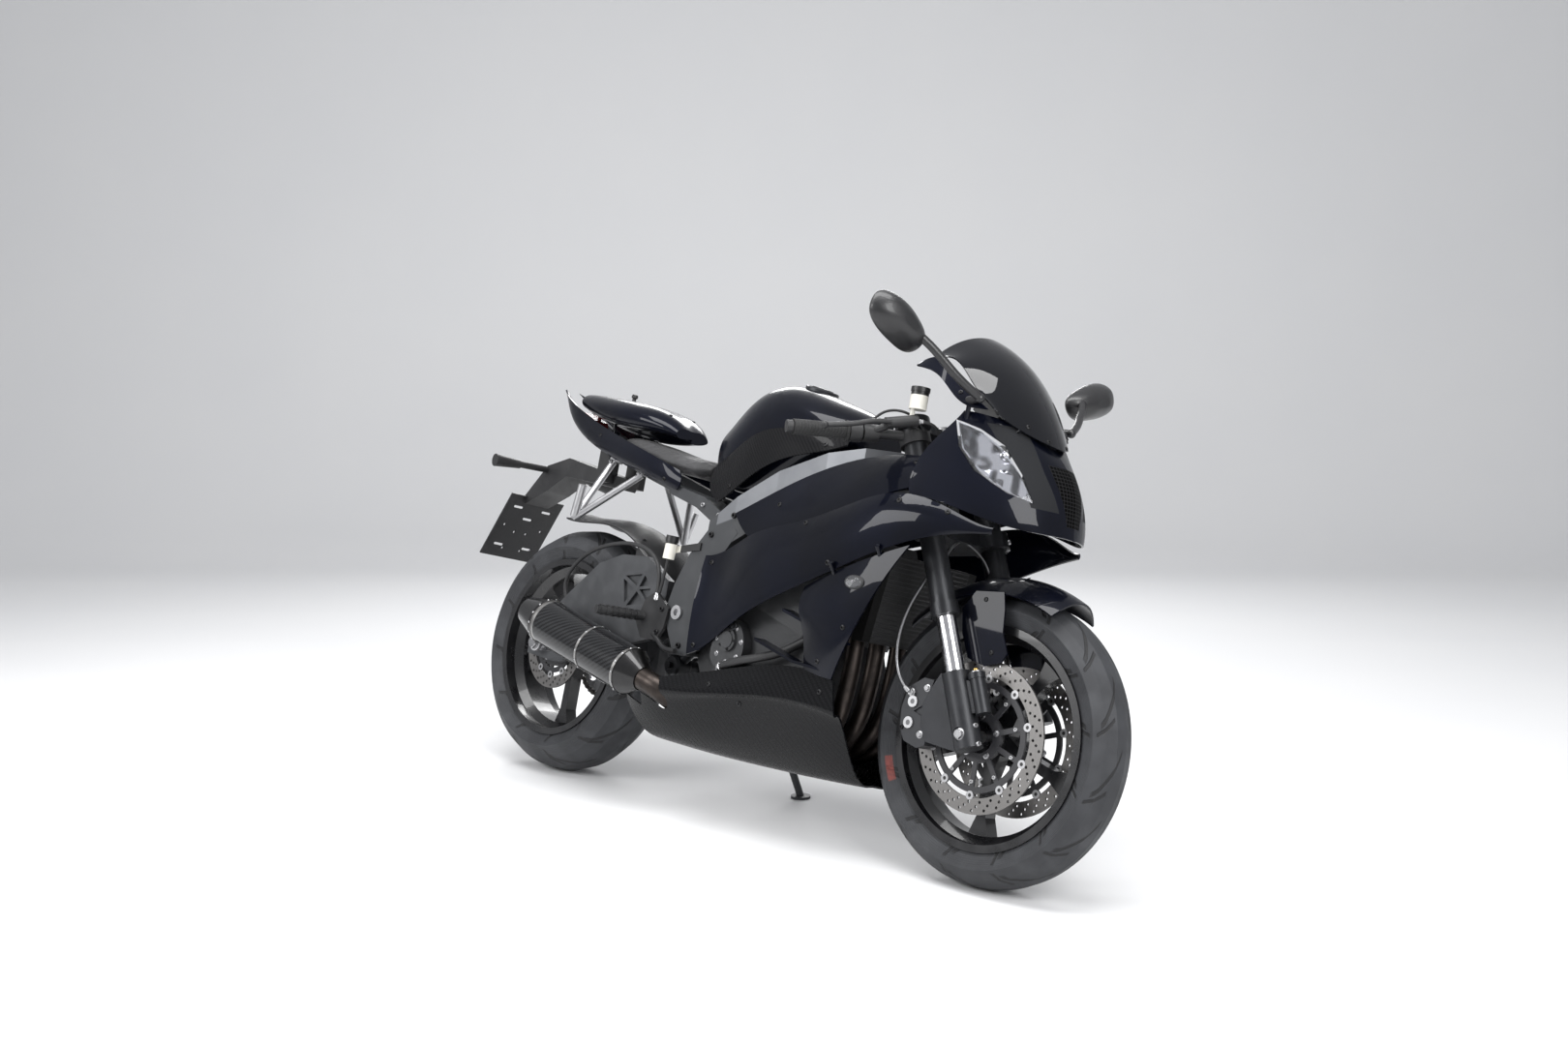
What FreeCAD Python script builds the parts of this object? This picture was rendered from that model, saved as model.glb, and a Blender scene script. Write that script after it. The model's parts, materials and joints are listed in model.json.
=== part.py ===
import FreeCAD, Part

import math
import os

from FreeCAD import Placement, Rotation, Vector

# Driving dimensions, millimetres and degrees.
# The bike is drawn upright: X forward from the rear axle, Y to its left, Z up from the ground.
WHEELBASE = 1380.0
BODY_HEIGHT = 1000.0
HALF_WIDTH = 250.0
RAKE = 24.0
TRAIL = 97.0
STAND_LEAN = 14.0
RUN_GAP = 0.3
FIT_GAP = 0.05
CUT_OVERRUN = 5.0


# Wheels
FRONT_TYRE_RADIUS = 300.0
FRONT_TYRE_WIDTH = 120.0
REAR_TYRE_RADIUS = 315.0
REAR_TYRE_WIDTH = 180.0
BEAD_RADIUS = 218.0
FLANGE_RADIUS = 229.0
RIM_WELL_RADIUS = 196.0
RIM_WALL = 5.0
FRONT_RIM_WIDTH = 100.0
REAR_RIM_WIDTH = 150.0
AXLE_RADIUS = 12.0
HUB_RADIUS = 33.0
FRONT_HUB_WIDTH = 112.0
REAR_HUB_WIDTH = 130.0
SPOKE_COUNT = 5
SPOKE_WIDTH = 26.0
SPOKE_THICKNESS = 34.0

# Brakes
FRONT_DISC_RADIUS = 155.0
FRONT_DISC_BAND = 33.0
FRONT_DISC_PLACE = 63.0
REAR_DISC_RADIUS = 110.0
REAR_DISC_BAND = 30.0
REAR_DISC_PLACE = 78.0
DISC_THICKNESS = 4.5
BOBBIN_RADIUS = 9.0
BOBBIN_COUNT = 10
CARRIER_RADIUS = 52.0
CALIPER_THICKNESS = 46.0
REAR_CALIPER_THICKNESS = 40.0

# Fork, measured up each leg from the front axle
LEG_PLACE = 107.0
SLIDER_RADIUS = 20.5
TUBE_RADIUS = 26.5
TUBE_BORE = 21.0
LUG_RADIUS = 29.0
LUG_BOTTOM = 30.0
LUG_TOP = 128.0
SEAL_HEIGHT = 249.0
TUBE_STAND = 23.0
LOWER_YOKE_HEIGHT = 428.0
LOWER_YOKE_THICKNESS = 36.0
TOP_YOKE_THICKNESS = 20.0
YOKE_WALL = 12.0
STEM_RADIUS = 18.0
STEM_BORE_RADIUS = 8.0
STEM_BORE_DEPTH = 60.0
HEAD_RADIUS = 32.0
HEAD_GAP = 6.0
CLIP_DROP = 39.0
CLIP_DEPTH = 26.0
BAR_RADIUS = 11.0
GRIP_RADIUS = 16.5
BAR_SWEEP = 119.0
BAR_REACH = 204.0
BAR_DROP = 29.0
LEVER_REACH = 76.0

# Frame and drive
PLATE_IN = 113.0
PLATE_OUT = 138.0
PIVOT_RADIUS = 12.0
PIVOT_CAP_RADIUS = 17.0
CHAIN_PITCH = 15.875
REAR_TEETH = 45
FRONT_TEETH = 16
CHAIN_PLACE = 103.0
CHAIN_WIDTH = 14.0
CHAIN_WAIST = 5.4
CHAIN_DEPTH = 7.5
SPROCKET_THICKNESS = 7.0
PIPE_RADIUS = 19.0
COLLECTOR_RADIUS = 27.0
SILENCER_RADIUS = 57.0
CLUTCH_COVER_DEPTH = 26.0
ENGINE_WIDTH_SHARE = 0.52

HANGER_WALL = 9.0
SHOCK_RADIUS = 32.0
ARM_WALL = 20.0
ARM_GAP = 3.0
SPOOL_HOLE_RADIUS = 4.0
TIE_RADIUS = 9.0
PEG_RADIUS = 5.0
EYE_RADIUS = 17.0
EYE_WIDTH = 30.0
TYRE_ROOM = 10.0

# Bodywork and stand
FENDER_ROOM = 33.0
FENDER_DEPTH = 42.0
HUGGER_ROOMS = (72.0, 98.0, 83.0, 54.0, 36.0, 44.0)
FENDER_HALF_WIDTH = 76.0
FRONT_CUP_RADIUS = 19.0
FRONT_CUP_HEIGHT = 38.0
CUP_RADIUS = 14.0
SKIN = 4.0
SCREEN_WALL = 3.0
STAND_RADIUS = 9.0
STAND_FOOT_RADIUS = 24.0
STAND_PIN_RADIUS = 6.0
STAND_EYE_RADIUS = 16.0
STAND_LUG_WALL = 8.0
STAND_FOOT_THICKNESS = 6.0

MIRROR_DEPTH = 52.0
GLASS_DEPTH = 3.0
FOOTREST_REACH = 118.0
SOCKET_RADIUS = 8.0
SOCKET_DEPTH = 8.0
PISTON_CAP_RADIUS = 12.0
PISTON_CAP_DEPTH = 4.0

# Shares of an outline follow these three: along the bike, across it and up, where the rear axle lies at
# one height share.
REACH_SHARE = 0.7246
REACH = WHEELBASE * REACH_SHARE
AXLE_HEIGHT_SHARE = 0.315
TOP_YOKE_SHARE = 0.913

ORIGIN = Vector(0, 0, 0)
ACROSS = Vector(0, 1, 0)
ALONG = Vector(1, 0, 0)
UP = Vector(0, 0, 1)
REAR_AXLE = Vector(0, 0, REAR_TYRE_RADIUS)
FRONT_AXLE = Vector(WHEELBASE, 0, FRONT_TYRE_RADIUS)
UP_FORK = Vector(-math.sin(math.radians(RAKE)), 0, math.cos(math.radians(RAKE)))
AHEAD_OF_FORK = Vector(math.cos(math.radians(RAKE)), 0, math.sin(math.radians(RAKE)))
FORK_OFFSET = FRONT_TYRE_RADIUS * math.sin(math.radians(RAKE)) - TRAIL * math.cos(math.radians(RAKE))


def height(z_share):
    return REAR_TYRE_RADIUS + (z_share - AXLE_HEIGHT_SHARE) * BODY_HEIGHT


def spot(x_share, y_share, z_share):
    return Vector(x_share * REACH, y_share * HALF_WIDTH, height(z_share))


def stretch(x_share, y_share, z_share):
    """Run from one place to another, in shares of the same three sizes"""
    return Vector(x_share * REACH, y_share * HALF_WIDTH, z_share * BODY_HEIGHT)


TOP_YOKE_HEIGHT = (height(TOP_YOKE_SHARE) - FRONT_TYRE_RADIUS) / math.cos(math.radians(RAKE))
TUBE_TOP = TOP_YOKE_HEIGHT + TUBE_STAND
CLIP_HEIGHT = TOP_YOKE_HEIGHT - CLIP_DROP


def on_fork(up, across=0, ahead=0):
    """Point at a height up the fork, measured from the front axle"""
    return FRONT_AXLE + UP_FORK * up + AHEAD_OF_FORK * ahead + ACROSS * across


def on_steering_axis(up):
    return on_fork(up, 0, -FORK_OFFSET)


def mirrored(shape):
    return shape.mirror(ORIGIN, ACROSS)


def both_sides(shape):
    return Part.makeCompound(shape.Solids + mirrored(shape).Solids)


def fuse(shapes):
    whole = shapes[0]
    for shape in shapes[1:]:
        whole = whole.fuse(shape)
    return whole.removeSplitter()


def rod(start, end, radius):
    run = end - start
    return Part.makeCylinder(radius, run.Length, start, run)


def places(shares):
    return [spot(*place) for place in shares]


def peg_between(start, end, radius, seat):
    """Round peg between two places, ending just short of the seat it reaches"""
    run = end - start
    run.normalize()
    near = seat.copy()
    near.translate(run * -RUN_GAP)
    left = rod(start, end, radius).cut(seat).cut(near)
    return min(left.Solids, key=lambda piece: (piece.CenterOfMass - start).Length)


def peg(shares, radius, seat):
    return peg_between(*places(shares), radius, seat)


def taper(start, end, start_radius, end_radius):
    run = end - start
    return Part.makeCone(start_radius, end_radius, run.Length, start, run)


def slab(shares, near, far):
    """Side outline in shares, pulled across the bike from near to far"""
    points = [spot(x, 0, z) + ACROSS * near for x, z in shares]
    return Part.Face(Part.makePolygon(points + points[:1])).extrude(ACROSS * (far - near))


def smooth_slab(shares, near, far):
    """As slab, with one smooth curve through the points of the outline"""
    curve = Part.BSplineCurve()
    curve.interpolate(Points=[spot(x, 0, z) + ACROSS * near for x, z in shares], PeriodicFlag=True)
    return Part.Face(Part.Wire(curve.toShape())).extrude(ACROSS * (far - near))


def outline_prism(places, run, grow=0):
    """Outline of places seen along a run, grown outward and pulled half the run each way"""
    middle = sum(places, Vector()) * (1 / len(places))
    heading = Vector(run)
    heading.normalize()
    points = []
    for place in places:
        flat = place - heading * heading.dot(place - middle)
        outward = flat - middle
        outward.normalize()
        points.append(flat + outward * grow - run / 2)
    return Part.Face(Part.makePolygon(points + points[:1])).extrude(run)


def bent_tube(points, radius, limit=0.45):
    """Round bar along straight runs joined by arcs as large as the runs allow"""
    edges = []
    last = points[0]
    for before, corner, after in zip(points, points[1:], points[2:]):
        back = before - corner
        on = after - corner
        trim = limit * min(back.Length, on.Length)
        back.normalize()
        on.normalize()
        start = corner + back * trim
        end = corner + on * trim
        half_angle = back.getAngle(on) / 2
        bend = trim * math.tan(half_angle)
        middle = back + on
        middle.normalize()
        inner = corner + middle * (bend / math.sin(half_angle) - bend)
        edges.append(Part.LineSegment(last, start).toShape())
        edges.append(Part.Arc(start, inner, end).toShape())
        last = end
    edges.append(Part.LineSegment(last, points[-1]).toShape())
    ring = Part.Wire(Part.Circle(points[0], points[1] - points[0], radius).toShape())
    return Part.Wire(edges).makePipe(Part.Face(ring))


def smooth_surface(grid):
    surface = Part.BSplineSurface()
    surface.interpolate(grid)
    return surface


def skin(outer, inside, wall=SKIN):
    """Shell of even wall under a smooth surface through a grid of places, closing on a point inside"""
    last_row = len(outer) - 1
    last_place = len(outer[0]) - 1
    inner = []
    for i, row in enumerate(outer):
        inner.append([])
        for j, place in enumerate(row):
            down = outer[min(i + 1, last_row)][j] - outer[max(i - 1, 0)][j]
            along = row[min(j + 1, last_place)] - row[max(j - 1, 0)]
            normal = down.cross(along)
            normal.normalize()
            if normal.dot(inside - place) < 0:
                normal = normal * -1
            inner[i].append(place + normal * wall)
    surfaces = [smooth_surface(outer), smooth_surface(inner)]
    faces = [surface.toShape() for surface in surfaces]
    edges = []
    for surface in surfaces:
        u_first, u_last, v_first, v_last = surface.bounds()
        edges.append([surface.vIso(v_first), surface.uIso(u_last), surface.vIso(v_last),
                      surface.uIso(u_first)])
    for outer_edge, inner_edge in zip(*edges):
        faces.append(Part.makeRuledSurface(outer_edge.toShape(), inner_edge.toShape()))
    shell = Part.makeShell(faces)
    shell.sewShape()
    solid = Part.makeSolid(shell)
    if solid.Volume < 0:
        solid.reverse()
    return solid


def share_skin(shares, inside_shares, wall=SKIN):
    return skin([places(row) for row in shares], spot(*inside_shares), wall)


def domed(outline, heading, steps):
    """Dome over an outline of places; each step is a rise and the share of the outline left there"""
    middle = sum(outline, Vector()) * (1 / len(outline))
    sections = []
    for rise, share in steps:
        curve = Part.BSplineCurve()
        points = [middle + (place - middle) * share + heading * rise for place in outline]
        curve.interpolate(Points=points, PeriodicFlag=True)
        sections.append(Part.Wire(curve.toShape()))
    return Part.makeLoft(sections, True)


def ring_section(x_share, shares):
    """Closed smooth section across the bike, from y and z shares, the same both sides"""
    left = [spot(x_share, y, z) for y, z in shares]
    right = [spot(x_share, -y, z) for y, z in reversed(shares) if y > 0]
    curve = Part.BSplineCurve()
    curve.interpolate(Points=left + right, PeriodicFlag=True)
    return Part.Wire(curve.toShape())


def lofted(sections):
    return Part.makeLoft([ring_section(x, shares) for x, shares in sections], True)


def turned(profile, centre):
    """Profile of places across the bike and radii, turned about a wheel's axle"""
    points = [centre + ACROSS * y + UP * r for y, r in profile]
    face = Part.Face(Part.makePolygon(points + points[:1]))
    return face.revolve(centre, ACROSS, 360)


def spin(shape, centre, turn):
    copy = shape.copy()
    copy.rotate(centre, ACROSS, turn)
    return copy


CROWN_STEPS = 6
CROWN_DROP_SHARE = 0.31


def tyre(centre, radius, width, rim_width):
    """Solid ring with a round crown, widest at its shoulders, and side walls down to the beads"""
    half = width / 2
    drop = width * CROWN_DROP_SHARE
    crown = (half * half + drop * drop) / (2 * drop)
    sweep = math.asin(half / crown)
    profile = []
    for step in range(CROWN_STEPS + 1):
        turn = sweep * (2 * step / CROWN_STEPS - 1)
        profile.append((crown * math.sin(turn), radius - crown * (1 - math.cos(turn))))
    bead = rim_width / 2 - RIM_WALL - RUN_GAP
    profile += [(bead, FLANGE_RADIUS + RUN_GAP), (bead, BEAD_RADIUS + RUN_GAP)]
    profile += [(-bead, BEAD_RADIUS + RUN_GAP), (-bead, FLANGE_RADIUS + RUN_GAP)]
    return turned(profile, centre)


def rim(centre, rim_width, hub_width):
    """Cast wheel: flanged barrel with a well, five spokes and a bored hub"""
    half = rim_width / 2
    bead_step = half - RIM_WALL
    well = rim_width / 5
    profile = [
        (-half, BEAD_RADIUS - RIM_WALL), (-half, FLANGE_RADIUS), (-bead_step, FLANGE_RADIUS),
        (-bead_step, BEAD_RADIUS), (-well * 1.6, BEAD_RADIUS), (-well, RIM_WELL_RADIUS + RIM_WALL),
        (well, RIM_WELL_RADIUS + RIM_WALL), (well * 1.6, BEAD_RADIUS), (bead_step, BEAD_RADIUS),
        (bead_step, FLANGE_RADIUS), (half, FLANGE_RADIUS), (half, BEAD_RADIUS - RIM_WALL),
        (well * 1.6, BEAD_RADIUS - RIM_WALL), (well, RIM_WELL_RADIUS), (-well, RIM_WELL_RADIUS),
        (-well * 1.6, BEAD_RADIUS - RIM_WALL),
    ]
    pieces = [turned(profile, centre)]
    hub_half = hub_width / 2
    flange = CARRIER_RADIUS - CUT_OVERRUN
    pieces.append(turned([
        (-hub_half, AXLE_RADIUS + FIT_GAP), (-hub_half, flange), (-hub_half * 0.8, flange),
        (-hub_half * 0.55, HUB_RADIUS), (hub_half * 0.55, HUB_RADIUS), (hub_half * 0.8, flange),
        (hub_half, flange), (hub_half, AXLE_RADIUS + FIT_GAP),
    ], centre))
    root = HUB_RADIUS - CUT_OVERRUN
    tip = RIM_WELL_RADIUS + RIM_WALL / 2
    spoke_points = [
        (-SPOKE_WIDTH * 0.9, root), (-SPOKE_WIDTH * 0.4, root * 2.6), (-SPOKE_WIDTH * 0.45, tip * 0.8),
        (-SPOKE_WIDTH, tip), (SPOKE_WIDTH, tip), (SPOKE_WIDTH * 0.45, tip * 0.8),
        (SPOKE_WIDTH * 0.4, root * 2.6), (SPOKE_WIDTH * 0.9, root),
    ]
    points = [centre + ALONG * x + UP * z - ACROSS * (SPOKE_THICKNESS / 2) for x, z in spoke_points]
    spoke = Part.Face(Part.makePolygon(points + points[:1])).extrude(ACROSS * SPOKE_THICKNESS)
    pieces += [spin(spoke, centre, 360 / SPOKE_COUNT * (i + 0.5)) for i in range(SPOKE_COUNT)]
    return fuse(pieces)


def disc(centre, place, radius, band, hub_face):
    """Floating brake disc: ring, bobbins and the carrier that seats on the hub's flange"""
    out = 1 if place > 0 else -1
    half = DISC_THICKNESS / 2
    at = centre + ACROSS * place
    inner = radius - band
    pieces = [turned([(-half, inner), (-half, radius), (half, radius), (half, inner)], at)]
    bobbin_place = inner - BOBBIN_RADIUS * 0.5
    thick = DISC_THICKNESS * 1.2
    for i in range(BOBBIN_COUNT):
        bobbin = Part.makeCylinder(BOBBIN_RADIUS, thick, at + UP * bobbin_place - ACROSS * thick / 2,
                                   ACROSS)
        pieces.append(spin(bobbin, at, 360 / BOBBIN_COUNT * i))
    ring_in = bobbin_place - BOBBIN_RADIUS * 2
    pieces.append(turned([(-half, ring_in), (-half, bobbin_place - BOBBIN_RADIUS * 0.6),
                          (half, bobbin_place - BOBBIN_RADIUS * 0.6), (half, ring_in)], at))
    seat = out * (hub_face - abs(place))
    dish = sorted([seat, out * half])
    pieces.append(turned([(dish[0], HUB_RADIUS), (dish[0], CARRIER_RADIUS),
                          (dish[1], CARRIER_RADIUS), (dish[1], HUB_RADIUS)], at))
    arm_width = BOBBIN_RADIUS * 1.2
    arm = Part.makeBox(arm_width, DISC_THICKNESS, ring_in + arm_width - CARRIER_RADIUS,
                       at + Vector(-arm_width / 2, -half, CARRIER_RADIUS - arm_width / 2))
    for i in range(BOBBIN_COUNT):
        pieces.append(spin(arm, at, 360 / BOBBIN_COUNT * i))
    return fuse(pieces)


def front_discs():
    place = FRONT_DISC_PLACE
    right = disc(FRONT_AXLE, -place, FRONT_DISC_RADIUS, FRONT_DISC_BAND, FRONT_HUB_WIDTH / 2)
    left = disc(FRONT_AXLE, place, FRONT_DISC_RADIUS, FRONT_DISC_BAND, FRONT_HUB_WIDTH / 2)
    return Part.makeCompound([right, left])


def rear_disc():
    return disc(REAR_AXLE, -REAR_DISC_PLACE, REAR_DISC_RADIUS, REAR_DISC_BAND, REAR_HUB_WIDTH / 2)


def rear_sprocket():
    """Toothed ring low enough to turn inside the fixed chain, dished to the hub's left face"""
    pitch_radius = CHAIN_PITCH / (2 * math.sin(math.pi / REAR_TEETH))
    tip = pitch_radius - CHAIN_WAIST - RUN_GAP
    root = tip - CHAIN_PITCH / 4
    half = SPROCKET_THICKNESS / 2
    at = REAR_AXLE + ACROSS * CHAIN_PLACE
    points = []
    for i in range(REAR_TEETH):
        for turn, radius in ((0.3, tip), (0.5, tip), (0.8, root), (1.0, root)):
            angle = 2 * math.pi * (i + turn) / REAR_TEETH
            points.append(at + Vector(radius * math.cos(angle), -half, radius * math.sin(angle)))
    wheel = Part.Face(Part.makePolygon(points + points[:1])).extrude(ACROSS * SPROCKET_THICKNESS)
    bore = Part.makeCylinder(HUB_RADIUS, SPROCKET_THICKNESS * 2, at - ACROSS * SPROCKET_THICKNESS,
                             ACROSS)
    wheel = wheel.cut(bore)
    window_radius = root / 6
    for i in range(SPOKE_COUNT):
        window = Part.makeCylinder(window_radius, SPROCKET_THICKNESS * 2,
                                   at + UP * (root * 0.72) - ACROSS * SPROCKET_THICKNESS, ACROSS)
        wheel = wheel.cut(spin(window, at, 360 / SPOKE_COUNT * i))
    seat = REAR_HUB_WIDTH / 2 - CHAIN_PLACE
    cush = turned([(seat, HUB_RADIUS), (seat, CARRIER_RADIUS), (-half, CARRIER_RADIUS),
                   (-half, HUB_RADIUS)], at)
    return fuse([wheel, cush])


DRIVE_SHAFT_SHARES = (0.590, 0.440)


def drive_chain():
    """One closed loop round both sprockets, waisted between its pins as its side plates are"""
    rear_radius = CHAIN_PITCH / (2 * math.sin(math.pi / REAR_TEETH))
    front_radius = CHAIN_PITCH / (2 * math.sin(math.pi / FRONT_TEETH))
    shaft = spot(DRIVE_SHAFT_SHARES[0], 0, DRIVE_SHAFT_SHARES[1])
    run = shaft - REAR_AXLE
    heading = math.atan2(run.z, run.x)
    lean_in = math.asin((rear_radius - front_radius) / run.Length)
    straight = run.Length * math.cos(lean_in)
    rear_wrap = (math.pi + 2 * lean_in) * rear_radius
    front_wrap = (math.pi - 2 * lean_in) * front_radius
    total = 2 * straight + rear_wrap + front_wrap
    links = round(total / CHAIN_PITCH)
    step = total / (2 * links)

    def on_loop(distance):
        """Place and outward direction at a distance round the loop, from the top of the rear sprocket"""
        top = heading + math.pi / 2 - lean_in
        low = heading - math.pi / 2 + lean_in
        if distance < straight:
            outward = Vector(math.cos(top), 0, math.sin(top))
            along = Vector(outward.z, 0, -outward.x)
            return REAR_AXLE + outward * rear_radius + along * distance, outward
        distance -= straight
        if distance < front_wrap:
            angle = top - distance / front_radius
            outward = Vector(math.cos(angle), 0, math.sin(angle))
            return shaft + outward * front_radius, outward
        distance -= front_wrap
        if distance < straight:
            outward = Vector(math.cos(low), 0, math.sin(low))
            along = Vector(outward.z, 0, -outward.x)
            return shaft + outward * front_radius + along * distance, outward
        distance -= straight
        angle = low - distance / rear_radius
        outward = Vector(math.cos(angle), 0, math.sin(angle))
        return REAR_AXLE + outward * rear_radius, outward

    outer = []
    inner = []
    for i in range(2 * links):
        place, outward = on_loop(i * step)
        depth = CHAIN_DEPTH if i % 2 == 0 else CHAIN_WAIST
        outer.append(place + outward * depth)
        inner.append(place - outward * CHAIN_WAIST)
    shift = ACROSS * (CHAIN_PLACE - CHAIN_WIDTH / 2)
    loops = [Part.makePolygon(points + points[:1]) for points in (outer, inner)]
    face = Part.Face(loops)
    face.translate(shift)
    return face.extrude(ACROSS * CHAIN_WIDTH)


def front_axle():
    reach = LEG_PLACE + LUG_RADIUS * 0.8
    nut = rod(FRONT_AXLE - ACROSS * reach, FRONT_AXLE - ACROSS * (LEG_PLACE + LUG_RADIUS * 0.6),
              AXLE_RADIUS * 1.1)
    return fuse([rod(FRONT_AXLE - ACROSS * reach, FRONT_AXLE + ACROSS * reach, AXLE_RADIUS), nut])


def fork_sliders():
    """Bright lower tubes, from the axle lugs up into the outer tubes"""
    low = on_fork(LUG_TOP * 0.5, LEG_PLACE)
    return both_sides(rod(low, on_fork(LOWER_YOKE_HEIGHT, LEG_PLACE), SLIDER_RADIUS))


CALIPER_REAR_SHARES = [(1.278, 0.262), (1.258, 0.254), (1.222, 0.264), (1.207, 0.290), (1.203, 0.330),
                       (1.214, 0.374),
                       (1.250, 0.398), (1.276, 0.396)]
CALIPER_FRONT_SHARES = [(1.272, 0.380), (1.256, 0.342), (1.259, 0.300), (1.278, 0.270)]
LUG_ARM_SHARES = [(1.366, 0.262), (1.398, 0.292), (1.372, 0.350), (1.342, 0.402), (1.290, 0.412)]
BARREL_SHARES = (0.23, 0.86)
BARREL_PLACE_SHARE = 1.70


def fork_lugs():
    """Axle clamps at the foot of each leg, with the caliper's arm and the damping barrel in front"""
    leg = rod(on_fork(-LUG_BOTTOM, LEG_PLACE), on_fork(LUG_TOP, LEG_PLACE), LUG_RADIUS)
    arm = slab(LUG_ARM_SHARES + CALIPER_FRONT_SHARES, LEG_PLACE - LUG_RADIUS * 0.55, LEG_PLACE)
    arm.translate(ALONG * RUN_GAP)
    low, top = [on_fork(LUG_TOP * share, LEG_PLACE,
                        LUG_RADIUS * BARREL_PLACE_SHARE) for share in BARREL_SHARES]
    collar = rod(top - UP_FORK * LUG_RADIUS * 0.3, top + UP_FORK * LUG_RADIUS * 0.12, LUG_RADIUS * 0.62)
    barrel = rod(low, top, LUG_RADIUS * 0.55)
    web_shares = [(1.330, 0.405), (1.385, 0.408), (1.408, 0.350), (1.360, 0.335)]
    web = slab(web_shares, LEG_PLACE - LUG_RADIUS * 0.3, LEG_PLACE + LUG_RADIUS * 0.3)
    whole = fuse([leg, arm, barrel, collar, web])
    whole = whole.cut(rod(FRONT_AXLE, FRONT_AXLE + ACROSS * LEG_PLACE * 2, AXLE_RADIUS * 1.1 + RUN_GAP))
    hole = rod(on_fork(LUG_TOP * 0.5 - RUN_GAP, LEG_PLACE), on_fork(LUG_TOP * 2, LEG_PLACE),
               SLIDER_RADIUS + RUN_GAP)
    return both_sides(whole.cut(hole))


def fork_tubes():
    """Outer tubes with the seal collar at the foot of each"""
    tube = rod(on_fork(SEAL_HEIGHT, LEG_PLACE), on_fork(TUBE_TOP, LEG_PLACE), TUBE_RADIUS)
    collar = rod(on_fork(SEAL_HEIGHT, LEG_PLACE), on_fork(SEAL_HEIGHT + TUBE_RADIUS, LEG_PLACE),
                 TUBE_RADIUS * 1.12)
    bore = rod(on_fork(0, LEG_PLACE), on_fork(LOWER_YOKE_HEIGHT + RUN_GAP, LEG_PLACE), TUBE_BORE)
    return both_sides(fuse([tube, collar]).cut(bore))


def yoke(bottom, thickness):
    """Plate that joins both legs to the stem, cut from one thick slab"""
    ring = TUBE_RADIUS + YOKE_WALL
    pieces = [rod(on_fork(bottom, side), on_fork(bottom + thickness, side),
                  ring) for side in (LEG_PLACE, -LEG_PLACE)]
    pieces.append(rod(on_steering_axis(bottom), on_steering_axis(bottom + thickness), ring))
    back = -FORK_OFFSET - ring * 0.75
    front = ring * 0.55
    corners = [(-LEG_PLACE, -ring * 0.6), (-LEG_PLACE / 3, back), (LEG_PLACE / 3, back),
               (LEG_PLACE, -ring * 0.6),
               (LEG_PLACE, front), (LEG_PLACE / 2, front * 0.4), (-LEG_PLACE / 2, front * 0.4),
               (-LEG_PLACE, front)]
    points = [on_fork(bottom, across, ahead) for across, ahead in corners]
    pieces.append(Part.Face(Part.makePolygon(points + points[:1])).extrude(UP_FORK * thickness))
    whole = fuse(pieces)
    for side in (LEG_PLACE, -LEG_PLACE):
        whole = whole.cut(rod(on_fork(bottom - thickness, side), on_fork(bottom + thickness * 2, side),
                              TUBE_RADIUS + RUN_GAP))
    return whole


def lower_yoke():
    stem = rod(on_steering_axis(LOWER_YOKE_HEIGHT), on_steering_axis(TOP_YOKE_HEIGHT - RUN_GAP),
               STEM_RADIUS)
    whole = fuse([yoke(LOWER_YOKE_HEIGHT, LOWER_YOKE_THICKNESS), stem])
    return whole.cut(rod(on_steering_axis(LOWER_YOKE_HEIGHT - CUT_OVERRUN),
                         on_steering_axis(LOWER_YOKE_HEIGHT + STEM_BORE_DEPTH), STEM_BORE_RADIUS))


def top_yoke():
    nut = rod(on_steering_axis(TOP_YOKE_HEIGHT),
              on_steering_axis(TOP_YOKE_HEIGHT + TOP_YOKE_THICKNESS * 1.5),
              STEM_RADIUS)
    return fuse([yoke(TOP_YOKE_HEIGHT, TOP_YOKE_THICKNESS), nut])


GRIP_INNER_SHARE = 0.50
BAR_ROOT_SHARES = (-0.44, 0.98, 0.11)


def along_bar(share):
    """Place on the left bar, by its share of the run from the fork leg to the grip's end"""
    clamp = TUBE_RADIUS + YOKE_WALL * 0.6
    root = on_fork(CLIP_HEIGHT + CLIP_DEPTH / 2, LEG_PLACE) + Vector(*BAR_ROOT_SHARES) * clamp
    return root + Vector(-BAR_SWEEP, BAR_REACH, -BAR_DROP) * share


def by_bar(share, ahead_share, up_share):
    """Place in front of the bar, where the lever stands one reach ahead of the grip"""
    return along_bar(share) + ALONG * LEVER_REACH * ahead_share + UP * LEVER_REACH * up_share


def handlebars():
    """Clip-on bars: a split clamp round each leg under the top yoke, and the bar with its end weight"""
    clamp_radius = TUBE_RADIUS + YOKE_WALL * 0.6
    ring = rod(on_fork(CLIP_HEIGHT, LEG_PLACE), on_fork(CLIP_HEIGHT + CLIP_DEPTH, LEG_PLACE),
               clamp_radius)
    bar = rod(along_bar(-0.02), along_bar(1.0), BAR_RADIUS)
    bore = rod(on_fork(CLIP_HEIGHT - CLIP_DEPTH, LEG_PLACE),
               on_fork(CLIP_HEIGHT + CLIP_DEPTH * 2, LEG_PLACE),
               TUBE_RADIUS + RUN_GAP)
    weight = rod(along_bar(1.005), along_bar(1.06), GRIP_RADIUS * 0.8)
    neck = rod(along_bar(0.99), along_bar(1.01), BAR_RADIUS)
    return both_sides(fuse([ring, bar, weight, neck]).cut(bore))


def grips():
    run = [rod(along_bar(GRIP_INNER_SHARE), along_bar(1.0), GRIP_RADIUS),
           rod(along_bar(GRIP_INNER_SHARE), along_bar(GRIP_INNER_SHARE + 0.02), GRIP_RADIUS * 1.4)]
    sleeve = fuse(run).cut(rod(along_bar(0), along_bar(1.2), BAR_RADIUS + RUN_GAP))
    return both_sides(sleeve)


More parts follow.
